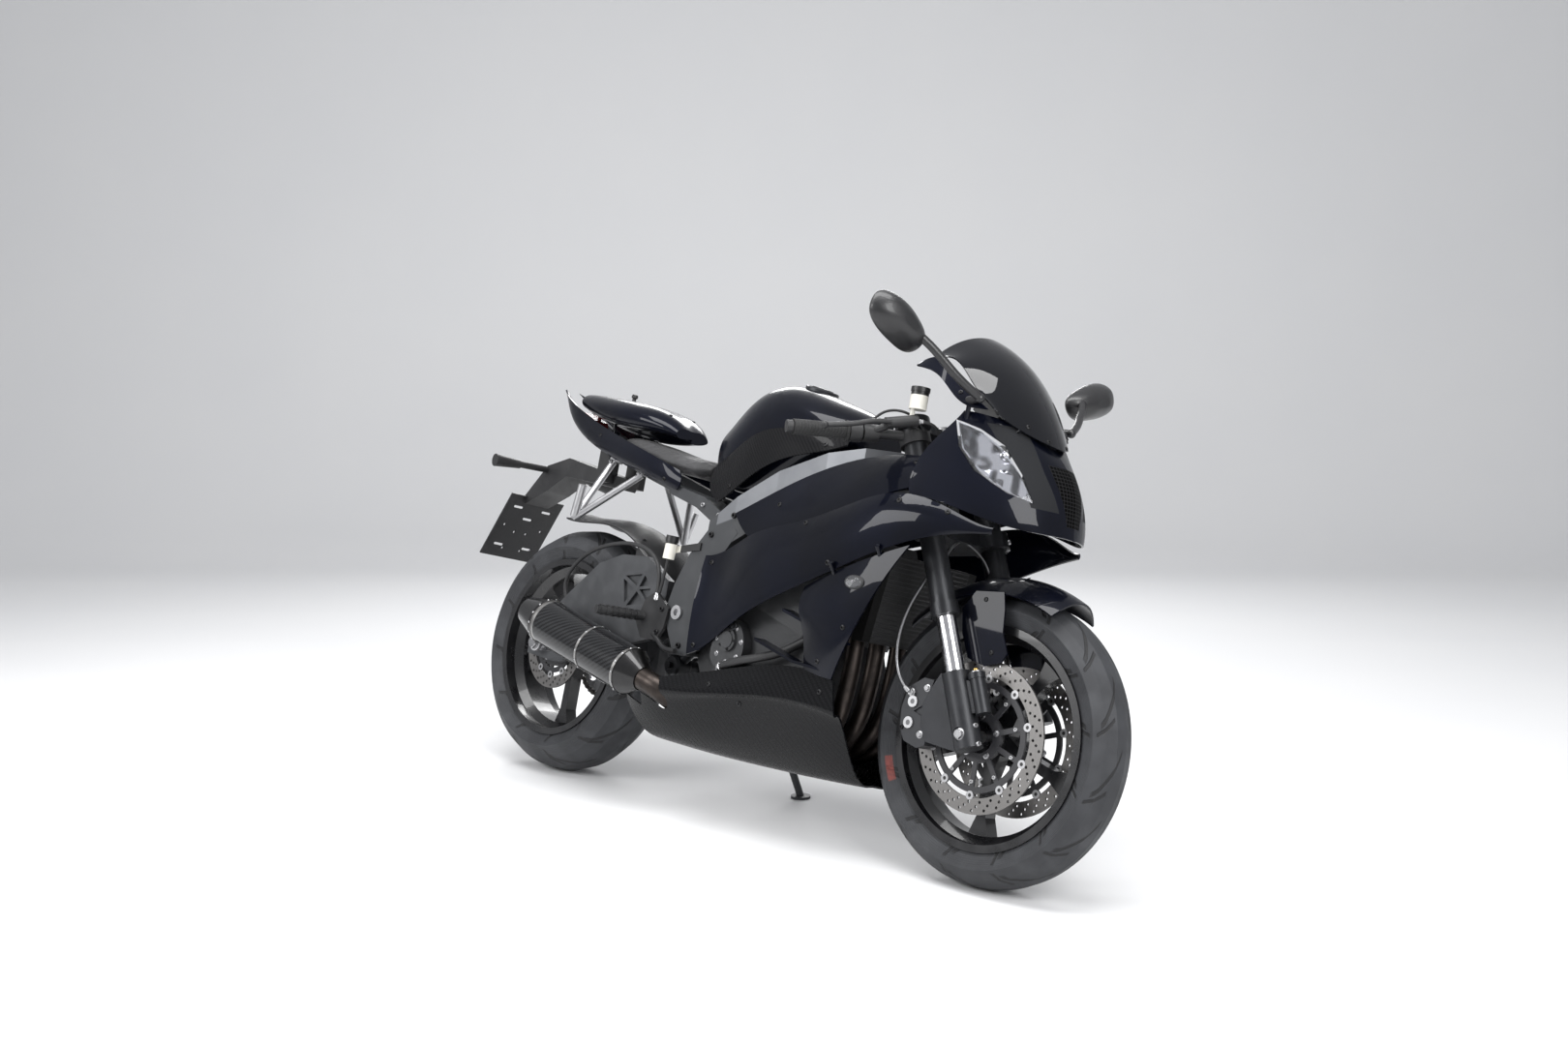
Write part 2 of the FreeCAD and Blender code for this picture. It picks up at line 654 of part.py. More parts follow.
PUMP_SHARES = [(0.343, 0.734, 0.29), (0.049, 0.695, 0.44)]
LEVER_SHARES = [(0.343, 0.92, 0.33), (0.515, 1.00, 0.32), (0.711, 1.05, 0.18), (0.956, 1.01, 0.09)]
LINK_SHARES = (0.22, 0.726, 0.36)
CUP_FOOT_SHARES = (0.049, 0.642, 0.742)
CUP_POST_SHARES = [(0.086, 0.62, 0.85), (0.086, 0.62, 0.19)]


def master_cylinder():
    return rod(*[by_bar(*place) for place in PUMP_SHARES], GRIP_RADIUS * 0.76)


def bar_controls():
    """Switch housings on both bars, with the brake and clutch levers in front of the grips"""
    housing = rod(along_bar(0.38), along_bar(GRIP_INNER_SHARE - 0.01), GRIP_RADIUS * 1.30)
    perch = rod(along_bar(0.22), along_bar(0.36), GRIP_RADIUS * 1.15)
    link = rod(along_bar(0.29) + AHEAD_OF_FORK * (BAR_RADIUS + CUT_OVERRUN), by_bar(*LINK_SHARES),
               GRIP_RADIUS * 0.46)
    lever = bent_tube([by_bar(*place) for place in LEVER_SHARES], STAND_RADIUS * 0.62)
    ball = Part.makeSphere(STAND_RADIUS * 0.9, by_bar(*LEVER_SHARES[-1]))
    whole = fuse([housing, perch, master_cylinder(), link, lever, ball])
    return both_sides(whole.cut(rod(along_bar(0), along_bar(1.2), BAR_RADIUS + RUN_GAP)))


def front_reservoir():
    """Brake fluid cup over the right bar's master cylinder, on a short post"""
    foot = by_bar(*CUP_FOOT_SHARES)
    cup = rod(foot, foot + UP * FRONT_CUP_HEIGHT, FRONT_CUP_RADIUS)
    lid = rod(foot + UP * FRONT_CUP_HEIGHT, foot + UP * (FRONT_CUP_HEIGHT + FRONT_CUP_RADIUS / 2),
              FRONT_CUP_RADIUS * 1.08)
    post = peg_between(*[by_bar(*place) for place in CUP_POST_SHARES], PEG_RADIUS, master_cylinder())
    return mirrored(fuse([cup, lid, post]))


PIVOT_SHARES = (0.506, 0, 0.448)
STAND_PIVOT_SHARES = (0.562, 0.53, 0.318)
STAND_FOOT_PLACE_SHARES = (0.647, 0.996)
STAND_FOLDED_SHARES = (-0.985, 0.56, 0.10)
STAND_HANGER_SHARES = (0.545, 0.37, 0.361)


def stand_foot():
    """Middle of the stand's foot, which is flat on the ground when the bike leans"""
    place = Vector(STAND_FOOT_PLACE_SHARES[0] * REACH, STAND_FOOT_PLACE_SHARES[1] * HALF_WIDTH, 0)
    return stand_frame().inverse().multVec(place)


def stand_hinge():
    """Pivot and axis of the stand, square to its leg both down and folded back"""
    pivot = spot(*STAND_PIVOT_SHARES)
    axis = (stand_foot() - pivot).cross(stretch(*STAND_FOLDED_SHARES))
    axis.normalize()
    return pivot, axis


SPAR_SHARES = [(1.045, 0.14, 0.262, 0.792, 0.870), (0.985, 0.30, 0.44, 0.770, 0.868),
               (0.894, 0.40, 0.52, 0.742, 0.850),
               (0.755, 0.41, 0.53, 0.694, 0.802), (0.640, 0.44, 0.552, 0.625, 0.735),
               (0.560, 0.452, 0.552, 0.560, 0.672)]
HEAD_JOIN_SHARE = 0.70
HEAD_JOIN_SHARES = [(0.16, -1.03), (0.94, -1.03), (0.94, 1.03), (0.16, 1.03)]


def spar():
    """Left spar, from the steering head to the top of its pivot plate"""
    head_height = LOWER_YOKE_HEIGHT + (TOP_YOKE_HEIGHT - LOWER_YOKE_HEIGHT) * HEAD_JOIN_SHARE
    join = on_steering_axis(head_height) - ALONG * HEAD_RADIUS * 0.44
    sections = [[join + ACROSS * HEAD_RADIUS * y + UP * HEAD_RADIUS * z for y, z in HEAD_JOIN_SHARES]]
    for x, inner, outer, low, top in SPAR_SHARES:
        sections.append(places([(x, inner, low), (x, outer, low), (x, outer, top), (x, inner, top)]))
    return Part.makeLoft([Part.makePolygon(corners + corners[:1]) for corners in sections], True, True)


LOW_TIE_SHARES = (0.545, 0, 0.361)
SHOCK_TIE_SHARES = (0.560, 0, 0.640)


def main_frame():
    """Twin spars from the steering head to the pivot plates, with their cross members"""
    plate_shares = [(0.606, 0.708), (0.560, 0.650), (0.512, 0.590), (0.478, 0.515), (0.465, 0.463),
                    (0.480, 0.407),
                    (0.515, 0.350), (0.560, 0.352), (0.590, 0.400), (0.588, 0.500), (0.625, 0.600),
                    (0.660, 0.650)]
    plate = slab(plate_shares, PLATE_IN, PLATE_OUT)
    side = fuse([spar(), plate])
    head = rod(on_steering_axis(LOWER_YOKE_HEIGHT + LOWER_YOKE_THICKNESS + HEAD_GAP),
               on_steering_axis(TOP_YOKE_HEIGHT - HEAD_GAP), HEAD_RADIUS)
    tie_reach = ACROSS * (PLATE_IN + PLATE_OUT) / 2
    tie_places = places([LOW_TIE_SHARES, SHOCK_TIE_SHARES])
    ties = [rod(place - tie_reach, place + tie_reach, TIE_RADIUS) for place in tie_places]
    stand_pivot, stand_axis = stand_hinge()
    lug_face = stand_pivot - stand_axis * (STAND_RADIUS + RUN_GAP)
    lug_back = lug_face - stand_axis * STAND_LUG_WALL
    lug = rod(lug_back, lug_face, STAND_EYE_RADIUS)
    pin = rod(lug_back, stand_pivot + stand_axis * STAND_RADIUS * 1.4, STAND_PIN_RADIUS)
    hanger = rod(lug_back - stand_axis * STAND_RADIUS * 0.6, spot(*STAND_HANGER_SHARES), STAND_RADIUS)
    whole = fuse([side, mirrored(side), head, lug, pin, hanger] + ties)
    bore = rod(on_steering_axis(LOWER_YOKE_HEIGHT), on_steering_axis(TUBE_TOP), STEM_RADIUS + FIT_GAP)
    pivot = spot(*PIVOT_SHARES)
    way = rod(pivot - ACROSS * HALF_WIDTH, pivot + ACROSS * HALF_WIDTH, PIVOT_RADIUS + RUN_GAP)
    return whole.cut(bore).cut(way)


def pivot_shaft():
    """Swingarm pivot, with a bright socketed cap outside each plate"""
    pivot = spot(*PIVOT_SHARES)
    reach = PLATE_OUT + PIVOT_RADIUS / 2
    pin = rod(pivot - ACROSS * reach, pivot + ACROSS * reach, PIVOT_RADIUS)
    cap = rod(pivot + ACROSS * (PLATE_OUT + RUN_GAP), pivot + ACROSS * reach, PIVOT_CAP_RADIUS)
    socket = rod(pivot + ACROSS * (reach - SOCKET_DEPTH), pivot + ACROSS * (reach + CUT_OVERRUN),
                 SOCKET_RADIUS)
    return fuse([pin, cap, mirrored(cap)]).cut(socket).cut(mirrored(socket))


RAIL_SHARES = [(0.585, 0.690), (0.575, 0.655), (0.474, 0.705), (0.255, 0.765), (0.030, 0.833),
               (-0.060, 0.880),
               (-0.060, 0.902), (0.030, 0.857), (0.255, 0.793), (0.375, 0.758), (0.500, 0.730)]
RAIL_SIDE_SHARES = (0.20, 0.28)


def rail():
    near, far = RAIL_SIDE_SHARES
    return slab(RAIL_SHARES, HALF_WIDTH * near, HALF_WIDTH * far)


def subframe():
    """Rear rails from the spars up under the seat to the tail"""
    wide_shares = [(0.585, 0.690), (0.575, 0.655), (0.474, 0.705), (0.370, 0.7335), (0.370, 0.7590),
                   (0.500, 0.730)]
    wide_side_shares = (0.24, 0.448)
    near, far = wide_side_shares
    side = fuse([rail(), slab(wide_shares, HALF_WIDTH * near, HALF_WIDTH * far)])
    tie_shares = [[(0.40, -0.22, 0.740), (0.40, 0.22, 0.740)],
                  [(0.0, -0.22, 0.860), (0.0, 0.22, 0.860)]]
    ties = [rod(*places(tie), PIVOT_RADIUS / 2) for tie in tie_shares]
    return fuse([side, mirrored(side)] + ties)


CASE_SHARES = [(0.660, 0.272), (0.940, 0.272), (0.952, 0.300), (0.950, 0.380), (0.915, 0.470),
               (0.720, 0.520), (0.660, 0.500)]
GEARBOX_SHARES = [(0.562, 0.345), (0.600, 0.280), (0.680, 0.272), (0.680, 0.500), (0.620, 0.515),
                  (0.566, 0.480)]
SUMP_SHARES = [(0.650, 0.290), (0.690, 0.216), (0.880, 0.216), (0.925, 0.290)]
CYLINDER_SHARES = [(0.730, 0.500), (0.925, 0.440), (0.985, 0.560), (0.990, 0.620), (0.960, 0.680),
                   (0.830, 0.690), (0.790, 0.640)]
CYLINDER_SIDE_SHARE = 0.58
ENGINE_BOSS_SHARES = (0.580, 0, 0.440)


def engine_block():
    """Plain crankcase, sump, gearbox, inclined cylinders and head, standing for the engine's mass"""
    wall = HALF_WIDTH * ENGINE_WIDTH_SHARE
    case = slab(CASE_SHARES, -wall, wall)
    gearbox = slab(GEARBOX_SHARES, -wall * 0.76, wall * 0.60)
    sump = slab(SUMP_SHARES, -wall * 0.68, wall * 0.68)
    top = slab(CYLINDER_SHARES, -HALF_WIDTH * CYLINDER_SIDE_SHARE, HALF_WIDTH * CYLINDER_SIDE_SHARE)
    boss_place = spot(*ENGINE_BOSS_SHARES)
    boss_reach = ACROSS * (PLATE_IN - RUN_GAP)
    boss = rod(boss_place - boss_reach, boss_place + boss_reach, TIE_RADIUS)
    return fuse([case, gearbox, sump, top, boss])


CLUTCH_SHARES = [(0.668, 0.350), (0.700, 0.335), (0.748, 0.350), (0.762, 0.400), (0.735, 0.445),
                 (0.690, 0.450), (0.666, 0.410)]
CLUTCH_CENTRE_SHARES = (0.712, 0, 0.405)
PUMP_COVER_SHARES = (0.690, 0, 0.320)
GENERATOR_SHARES = [(0.760, 0.345), (0.790, 0.292), (0.860, 0.290), (0.905, 0.325), (0.890, 0.390),
                    (0.820, 0.410)]


def engine_covers():
    """Clutch and water pump covers on the right, generator cover on the left"""
    wall = HALF_WIDTH * ENGINE_WIDTH_SHARE + RUN_GAP
    clutch = smooth_slab(CLUTCH_SHARES, -wall - CLUTCH_COVER_DEPTH, -wall)
    centre = spot(*CLUTCH_CENTRE_SHARES)
    face = centre - ACROSS * (wall + CLUTCH_COVER_DEPTH * 1.25)
    boss = rod(face, centre - ACROSS * wall, CLUTCH_COVER_DEPTH)
    plug = rod(face - ACROSS * CLUTCH_COVER_DEPTH * 0.08, face, CLUTCH_COVER_DEPTH * 0.72)
    pump_place = spot(*PUMP_COVER_SHARES)
    pump = rod(pump_place - ACROSS * (wall + CLUTCH_COVER_DEPTH * 0.9), pump_place - ACROSS * wall,
               CLUTCH_COVER_DEPTH * 0.8)
    generator = smooth_slab(GENERATOR_SHARES, wall, wall + CLUTCH_COVER_DEPTH)
    return Part.makeCompound([fuse([clutch, boss, plug, pump]), generator])


SILENCER_FRONT_SHARES = (0.470, -0.70, 0.281)
SILENCER_REAR_SHARES = (0.030, -0.82, 0.392)


def collector(radius):
    """Pipe from under the engine to the mouth of the silencer"""
    start_shares = [(0.775, -0.06, 0.184), (0.680, -0.10, 0.184), (0.600, -0.34, 0.205)]
    front = spot(*SILENCER_FRONT_SHARES)
    run = front - spot(*SILENCER_REAR_SHARES)
    run.normalize()
    return bent_tube(places(start_shares) + [front + run * COLLECTOR_RADIUS * 2, front + run * RUN_GAP],
                     radius)


def exhaust_headers():
    """Four pipes from the head, down behind the radiator and back under the engine to one collector"""
    pipes = []
    side_shares = (-0.42, -0.14, 0.14, 0.42)
    for side in side_shares:
        pipe_shares = [(0.9965, side, 0.585), (1.030, side, 0.562), (1.048, side, 0.470),
                       (1.048, side, 0.380),
                       (1.036, side, 0.285), (0.975, side * 0.70, 0.195), (0.860, side * 0.50, 0.184),
                       (0.760, side * 0.25 - 0.04, 0.184)]
        pipes.append(bent_tube(places(pipe_shares), PIPE_RADIUS))
    return fuse(pipes + [collector(COLLECTOR_RADIUS)])


def silencer():
    """Round silencer with a cone at its front, two bands and a tapered end cap with an open bore"""
    front = spot(*SILENCER_FRONT_SHARES)
    rear = spot(*SILENCER_REAR_SHARES)
    run = rear - front
    body_start = front + run * 0.10
    cap_start = front + run * 0.84
    cone = taper(front, body_start, COLLECTOR_RADIUS * 1.1, SILENCER_RADIUS)
    body = rod(body_start, cap_start, SILENCER_RADIUS)
    cap = taper(cap_start, rear, SILENCER_RADIUS, SILENCER_RADIUS * 0.62)
    whole = [cone, body, cap]
    band_shares = (0.10, 0.41, 0.82)
    for share in band_shares:
        whole.append(rod(front + run * share, front + run * (share + 0.02), SILENCER_RADIUS * 1.025))
    bore = rod(front + run * 0.9, rear + run * 0.1, SILENCER_RADIUS * 0.42)
    return fuse(whole).cut(bore)


def radiator():
    """Core with side tanks, curved with the front wheel's arc, stayed to the engine's head"""
    core_shares = [(1.076, 0.450), (1.106, 0.450), (1.120, 0.545), (1.136, 0.640), (1.106, 0.645),
                   (1.090, 0.550)]
    core_side_share = 0.62
    core = slab(core_shares, -HALF_WIDTH * core_side_share, HALF_WIDTH * core_side_share)
    stay_shares = [(1.112, 0.636), (1.108, 0.620), (0.9903, 0.612), (0.9903, 0.628)]
    stay_side_shares = (0.20, 0.26)
    near, far = stay_side_shares
    stay = slab(stay_shares, HALF_WIDTH * near, HALF_WIDTH * far)
    return fuse([core, stay, mirrored(stay)])


TANK_SECTIONS = [
    (0.470, [(0, 0.800), (0.22, 0.802), (0.26, 0.835), (0.22, 0.890), (0.12, 0.915), (0, 0.922)]),
    (0.540, [(0, 0.760), (0.30, 0.764), (0.37, 0.830), (0.32, 0.920), (0.18, 0.975), (0, 0.990)]),
    (0.630, [(0, 0.750), (0.33, 0.760), (0.42, 0.850), (0.40, 0.950), (0.24, 1.008), (0, 1.024)]),
    (0.730, [(0, 0.790), (0.33, 0.800), (0.44, 0.870), (0.43, 0.955), (0.25, 1.002), (0, 1.014)]),
    (0.830, [(0, 0.830), (0.30, 0.840), (0.43, 0.880), (0.42, 0.935), (0.24, 0.975), (0, 0.986)]),
    (0.920, [(0, 0.870), (0.20, 0.874), (0.32, 0.892), (0.30, 0.920), (0.16, 0.945), (0, 0.952)]),
]


def fuel_tank():
    foot = peg([(0.830, 0.34, 0.852), (0.830, 0.46, 0.812)], PEG_RADIUS, spar())
    return fuse([lofted(TANK_SECTIONS), foot, mirrored(foot)])


def tank_covers():
    """Textured knee panels low on both sides of the tank, above the spars"""
    shares = [
        [(0.500, 0.36, 0.815), (0.570, 0.43, 0.850), (0.660, 0.51, 0.890), (0.790, 0.525, 0.900),
         (0.925, 0.41, 0.888)],
        [(0.505, 0.43, 0.760), (0.575, 0.47, 0.790), (0.665, 0.535, 0.838), (0.795, 0.555, 0.870),
         (0.930, 0.45, 0.880)],
        [(0.545, 0.45, 0.722), (0.600, 0.51, 0.745), (0.680, 0.545, 0.795), (0.800, 0.565, 0.838),
         (0.935, 0.48, 0.872)],
    ]
    inside_shares = (0.7, 0, 0.85)
    cover = share_skin(shares, inside_shares)
    to_tank = peg([(0.700, 0.525, 0.880), (0.700, 0.35, 0.880)], PEG_RADIUS, lofted(TANK_SECTIONS))
    return both_sides(fuse([cover, to_tank]))


def rider_seat():
    pad = lofted([
        (0.110, [(0, 0.856), (0.26, 0.856), (0.34, 0.866), (0.24, 0.878), (0, 0.882)]),
        (0.200, [(0, 0.830), (0.34, 0.832), (0.43, 0.846), (0.34, 0.864), (0, 0.870)]),
        (0.330, [(0, 0.795), (0.36, 0.796), (0.45, 0.812), (0.34, 0.836), (0, 0.842)]),
        (0.430, [(0, 0.782), (0.30, 0.784), (0.39, 0.800), (0.28, 0.824), (0, 0.830)]),
        (0.462, [(0, 0.790), (0.20, 0.792), (0.28, 0.804), (0.20, 0.822), (0, 0.828)]),
    ])
    foot = peg([(0.330, 0.24, 0.810), (0.330, 0.24, 0.762)], PEG_RADIUS, rail())
    return fuse([pad, foot, mirrored(foot)])


def hump():
    return lofted([
        (0.290, [(0, 0.884), (0.18, 0.884), (0.22, 0.892), (0.18, 0.904), (0, 0.908)]),
        (0.215, [(0, 0.894), (0.30, 0.894), (0.36, 0.914), (0.28, 0.942), (0, 0.952)]),
        (0.110, [(0, 0.902), (0.32, 0.902), (0.40, 0.930), (0.30, 0.962), (0, 0.974)]),
        (0.000, [(0, 0.922), (0.28, 0.922), (0.35, 0.945), (0.26, 0.975), (0, 0.986)]),
        (-0.110, [(0, 0.955), (0.18, 0.955), (0.23, 0.970), (0.17, 0.988), (0, 0.994)]),
    ])


def seat_cowl():
    """Hump that covers the rear seat, on two posts from the rails"""
    foot = peg([(0.050, 0.24, 0.925), (0.050, 0.24, 0.840)], PEG_RADIUS, rail())
    return fuse([hump(), foot, mirrored(foot)])


def tail_fairing():
    """Side panels under both seats, meeting behind the hump in one raised point"""
    shares = [
        [(0.400, 0.475, 0.790), (0.250, 0.51, 0.838), (0.100, 0.42, 0.880), (-0.050, 0.34, 0.930),
         (-0.235, 0.10, 1.006)],
        [(0.415, 0.49, 0.765), (0.250, 0.53, 0.805), (0.090, 0.46, 0.852), (-0.060, 0.36, 0.902),
         (-0.200, 0.12, 0.980)],
        [(0.400, 0.475, 0.742), (0.250, 0.475, 0.778), (0.080, 0.42, 0.826), (-0.050, 0.34, 0.876),
         (-0.150, 0.14, 0.930)],
    ]
    inside_shares = (0.1, 0, 0.85)
    panel = share_skin(shares, inside_shares)
    front_foot = peg([(0.385, 0.472, 0.751), (0.385, 0.38, 0.751)], PEG_RADIUS, subframe())
    rear_foot = peg([(0.000, 0.392, 0.862), (0.000, 0.25, 0.862)], PEG_RADIUS, rail())
    return both_sides(fuse([panel, front_foot, rear_foot]))


def tail_light():
    lamp_shares = [(-0.150, 0.925), (-0.100, 0.880), (-0.070, 0.893), (-0.085, 0.925), (-0.135, 0.946)]
    lamp_side_share = 0.09
    lamp = slab(lamp_shares, -HALF_WIDTH * lamp_side_share, HALF_WIDTH * lamp_side_share)
    return fuse([lamp, peg([(-0.095, 0, 0.915), (-0.095, 0, 0.965)], PEG_RADIUS, hump())])


def plate_holder():
    """Bracket under the tail for a number plate, with the stalks of both indicators"""
    arm_shares = [(0.073, 0.775), (0.060, 0.745), (-0.140, 0.765), (-0.215, 0.720), (-0.300, 0.680),
                  (-0.310, 0.700),
                  (-0.230, 0.790), (-0.140, 0.815)]
    arm_side_share = 0.16
    arm = slab(arm_shares, -HALF_WIDTH * arm_side_share, HALF_WIDTH * arm_side_share)
    post_shares = [(0.060, 0.755), (0.060, 0.8233), (0.030, 0.8325), (0.020, 0.8377), (0.020, 0.755)]
    post_side_shares = (0.12, 0.27)
    near, far = post_side_shares
    post = slab(post_shares, HALF_WIDTH * near, HALF_WIDTH * far)
    board_shares = [(-0.296, 0.700), (-0.300, 0.702), (-0.398, 0.528), (-0.394, 0.526)]
    board_side_share = 0.36
    board = slab(board_shares, -HALF_WIDTH * board_side_share, HALF_WIDTH * board_side_share)
    stalk = rod(*places([(-0.230, 0.10, 0.780), (-0.240, 0.56, 0.775)]), STAND_RADIUS)
    pod = taper(*places([(-0.240, 0.50, 0.775), (-0.250, 0.80, 0.772)]), STAND_RADIUS * 1.2,
                STAND_RADIUS * 1.9)
    side = fuse([post, stalk, pod])
    return fuse([arm, board, side, mirrored(side)])


def pillion_hangers():
    """Bright forked hangers below the tail, each with its folded footpeg, bolted to the rails"""
    arm_shares = [[(0.228, 0.36, 0.775), (0.118, 0.76, 0.640)],
                  [(0.108, 0.36, 0.803), (0.118, 0.76, 0.640)]]
    arms = [rod(*places(arm), STAND_RADIUS) for arm in arm_shares]
    pad_shares = [[(0.228, 0.38, 0.783), (0.228, 0.25, 0.783)],
                  [(0.108, 0.38, 0.812), (0.108, 0.25, 0.812)]]
    pads = [peg(pad, STAND_RADIUS, rail()) for pad in pad_shares]
    foot_shares = [(0.118, 0.76, 0.645), (0.136, 0.78, 0.725)]
    return both_sides(fuse(arms + pads + [rod(*places(foot_shares), STAND_RADIUS * 1.2)]))


HANGER_SHARES = [(0.395, 0.470), (0.430, 0.490), (0.482, 0.455), (0.476, 0.405), (0.455, 0.375),
                 (0.400, 0.375), (0.375, 0.410)]
FOOTREST_SHARES = [(0.395, 0, 0.427), (0.363, 0, 0.424)]
PEDAL_SHARES = [(0.440, 0, 0.390), (0.500, 0, 0.358), (0.545, 0, 0.358)]
KNURL_COUNT = 7


def rider_footrests():
    """Heel plates bolted to the pivot plates, with ringed pegs and pedals"""
    hanger = slab(HANGER_SHARES, PLATE_OUT + RUN_GAP, PLATE_OUT + HANGER_WALL)
    root, tip = places(FOOTREST_SHARES)
    root = root + ACROSS * (PLATE_OUT + HANGER_WALL / 2)
    tip = tip + ACROSS * (PLATE_OUT + HANGER_WALL + FOOTREST_REACH)
    run = tip - root
    rings = [rod(root + run * ((i + 1) / (KNURL_COUNT + 1)),
                 root + run * ((i + 1.5) / (KNURL_COUNT + 1)), STAND_RADIUS * 1.45)
             for i in range(KNURL_COUNT)]
    low, knee, toe = places(PEDAL_SHARES)
    low = low + ACROSS * (PLATE_OUT + HANGER_WALL / 2)
    knee = knee + ACROSS * (PLATE_OUT + HANGER_WALL * 1.9)
    toe = toe + ACROSS * (PLATE_OUT + HANGER_WALL * 2.4)
    pedal = bent_tube([low, knee, toe], STAND_RADIUS * 0.7)
    return both_sides(fuse([hanger, rod(root, tip, STAND_RADIUS * 1.2), pedal] + rings))


def rear_reservoir():
    """Rear brake fluid cup on a flat bracket from the right pivot plate"""
    cup_shares = [(0.458, 0, 0.570), (0.461, 0, 0.612), (0.462, 0, 0.626)]
    cup_side = PLATE_OUT + CUP_RADIUS * 1.2
    low, neck, top = [place - ACROSS * cup_side for place in places(cup_shares)]
    bracket_shares = [(0.450, 0.585), (0.450, 0.600), (0.548, 0.618), (0.548, 0.600)]
    bracket_face = PLATE_OUT + RUN_GAP
    bracket = slab(bracket_shares, -bracket_face - SKIN, -bracket_face)
    return fuse([rod(low, neck, CUP_RADIUS), rod(neck - UP, top, CUP_RADIUS * 1.15), bracket])


SPOOL_SHARES = (0.080, 0, 0.300)


ARM_SHARES = [(0.435, 0.520), (0.345, 0.572), (0.250, 0.570), (0.165, 0.540), (0.060, 0.450),
              (-0.030, 0.365),
              (-0.060, 0.338), (-0.060, 0.285), (0.060, 0.275), (0.260, 0.335), (0.435, 0.385)]
CHAIN_ARM_SHARES = [(0.435, 0.480), (0.300, 0.500), (0.150, 0.440), (0.060, 0.375), (-0.050, 0.345),
                    (-0.060, 0.285),
                    (0.060, 0.275), (0.260, 0.330), (0.435, 0.385)]
PIVOT_ARM_SHARES = [(0.535, 0.470), (0.500, 0.478), (0.340, 0.445), (0.340, 0.372), (0.440, 0.372),
                    (0.500, 0.415), (0.535, 0.425)]
BRIDGE_SHARES = [(0.425, 0.440), (0.340, 0.435), (0.340, 0.375), (0.425, 0.375)]
BEAM_SHARES = [(0.395, 0.440), (0.340, 0.435), (0.340, 0.375), (0.395, 0.375)]
TRUSS_SHARES = [(0.262, 0.520), (0.345, 0.532), (0.380, 0.500), (0.372, 0.455), (0.285, 0.440)]
TRUSS_CENTRE_SHARES = (0.325, 0.492)
TRUSS_OPEN_SHARE = 0.74


def truss_pockets(outer_face):
    """Sunk triangles between the ribs of the arm's outer face"""
    pockets = []
    for one, two in zip(TRUSS_SHARES, TRUSS_SHARES[1:] + TRUSS_SHARES[:1]):
        corners = (one, two, TRUSS_CENTRE_SHARES)
        middle = [sum(corner[i] for corner in corners) / len(corners) for i in range(2)]
        shrunk = [tuple(middle[i] + (corner[i] - middle[i]) * TRUSS_OPEN_SHARE for i in range(2))
                  for corner in corners]
        pockets.append(slab(shrunk, outer_face - CUT_OVERRUN, outer_face + ARM_WALL * 0.4))
    return pockets


def swingarm():
    """Deep braced arm each side of the rear wheel, the left one outside the chain"""
    tyre_side = REAR_TYRE_WIDTH / 2 + TYRE_ROOM
    right = slab(ARM_SHARES, -tyre_side - ARM_WALL, -tyre_side)
    for pocket in truss_pockets(-tyre_side - ARM_WALL):
        right = right.cut(pocket)
    chain_side = CHAIN_PLACE + CHAIN_WIDTH / 2 + ARM_GAP
    left = slab(CHAIN_ARM_SHARES, chain_side, chain_side + ARM_WALL)
    inner = PLATE_IN - ARM_GAP
    chain_inner = CHAIN_PLACE - CHAIN_WIDTH / 2 - ARM_GAP
    front_right = slab(PIVOT_ARM_SHARES, -inner, -inner + ARM_WALL * 2)
    front_left = slab(PIVOT_ARM_SHARES, chain_inner - ARM_WALL, chain_inner)
    bridge = slab(BRIDGE_SHARES, SHOCK_RADIUS * 1.2, chain_side + ARM_WALL)
    beam = slab(BEAM_SHARES, -inner, SHOCK_RADIUS * 1.5)
    whole = fuse([right, left, front_right, front_left, bridge, beam])
    for place, radius in ((spot(*PIVOT_SHARES), PIVOT_RADIUS + RUN_GAP),
                          (REAR_AXLE, AXLE_RADIUS + RUN_GAP),
                          (spot(*SPOOL_SHARES), SPOOL_HOLE_RADIUS)):
        whole = whole.cut(rod(place - ACROSS * HALF_WIDTH, place + ACROSS * HALF_WIDTH, radius))
    return whole


ADJUSTER_SHARES = [(-0.036, 0.335), (0.034, 0.331), (0.034, 0.299), (-0.036, 0.295)]


def rear_axle():
    """Axle with a chain adjuster plate on the outer face of each arm"""
    left_face = CHAIN_PLACE + CHAIN_WIDTH / 2 + ARM_GAP + ARM_WALL
    right_face = REAR_TYRE_WIDTH / 2 + TYRE_ROOM + ARM_WALL
    reach = ACROSS * (left_face + AXLE_RADIUS)
    axle = rod(REAR_AXLE - reach, REAR_AXLE + reach, AXLE_RADIUS)
    left = slab(ADJUSTER_SHARES, left_face + RUN_GAP, left_face + RUN_GAP + SKIN)
    right = slab(ADJUSTER_SHARES, -right_face - RUN_GAP - SKIN, -right_face - RUN_GAP)
    return fuse([axle, left, right])


def rear_caliper():
    half = REAR_CALIPER_THICKNESS / 2
    body_shares = [(0.050, 0.395), (0.100, 0.340), (0.135, 0.360), (0.080, 0.425)]
    arm_face = REAR_TYRE_WIDTH / 2 + TYRE_ROOM
    body = slab(body_shares, -arm_face + RUN_GAP, -REAR_DISC_PLACE + half)
    slot = Part.makeCylinder(REAR_DISC_RADIUS + CUT_OVERRUN, DISC_THICKNESS * 2.4,
                             REAR_AXLE - ACROSS * (REAR_DISC_PLACE + DISC_THICKNESS * 1.2), ACROSS)
    return body.cut(slot)


HUGGER_DROP_SHARE = 0.06
HUGGER_TURNS = (28, 42, 56, 72, 88, 97)
HUGGER_TAB_SHARE = 0.345


HUGGER_SIDE_SHARES = (-0.36, -0.22, 0.0, 0.22, 0.36)


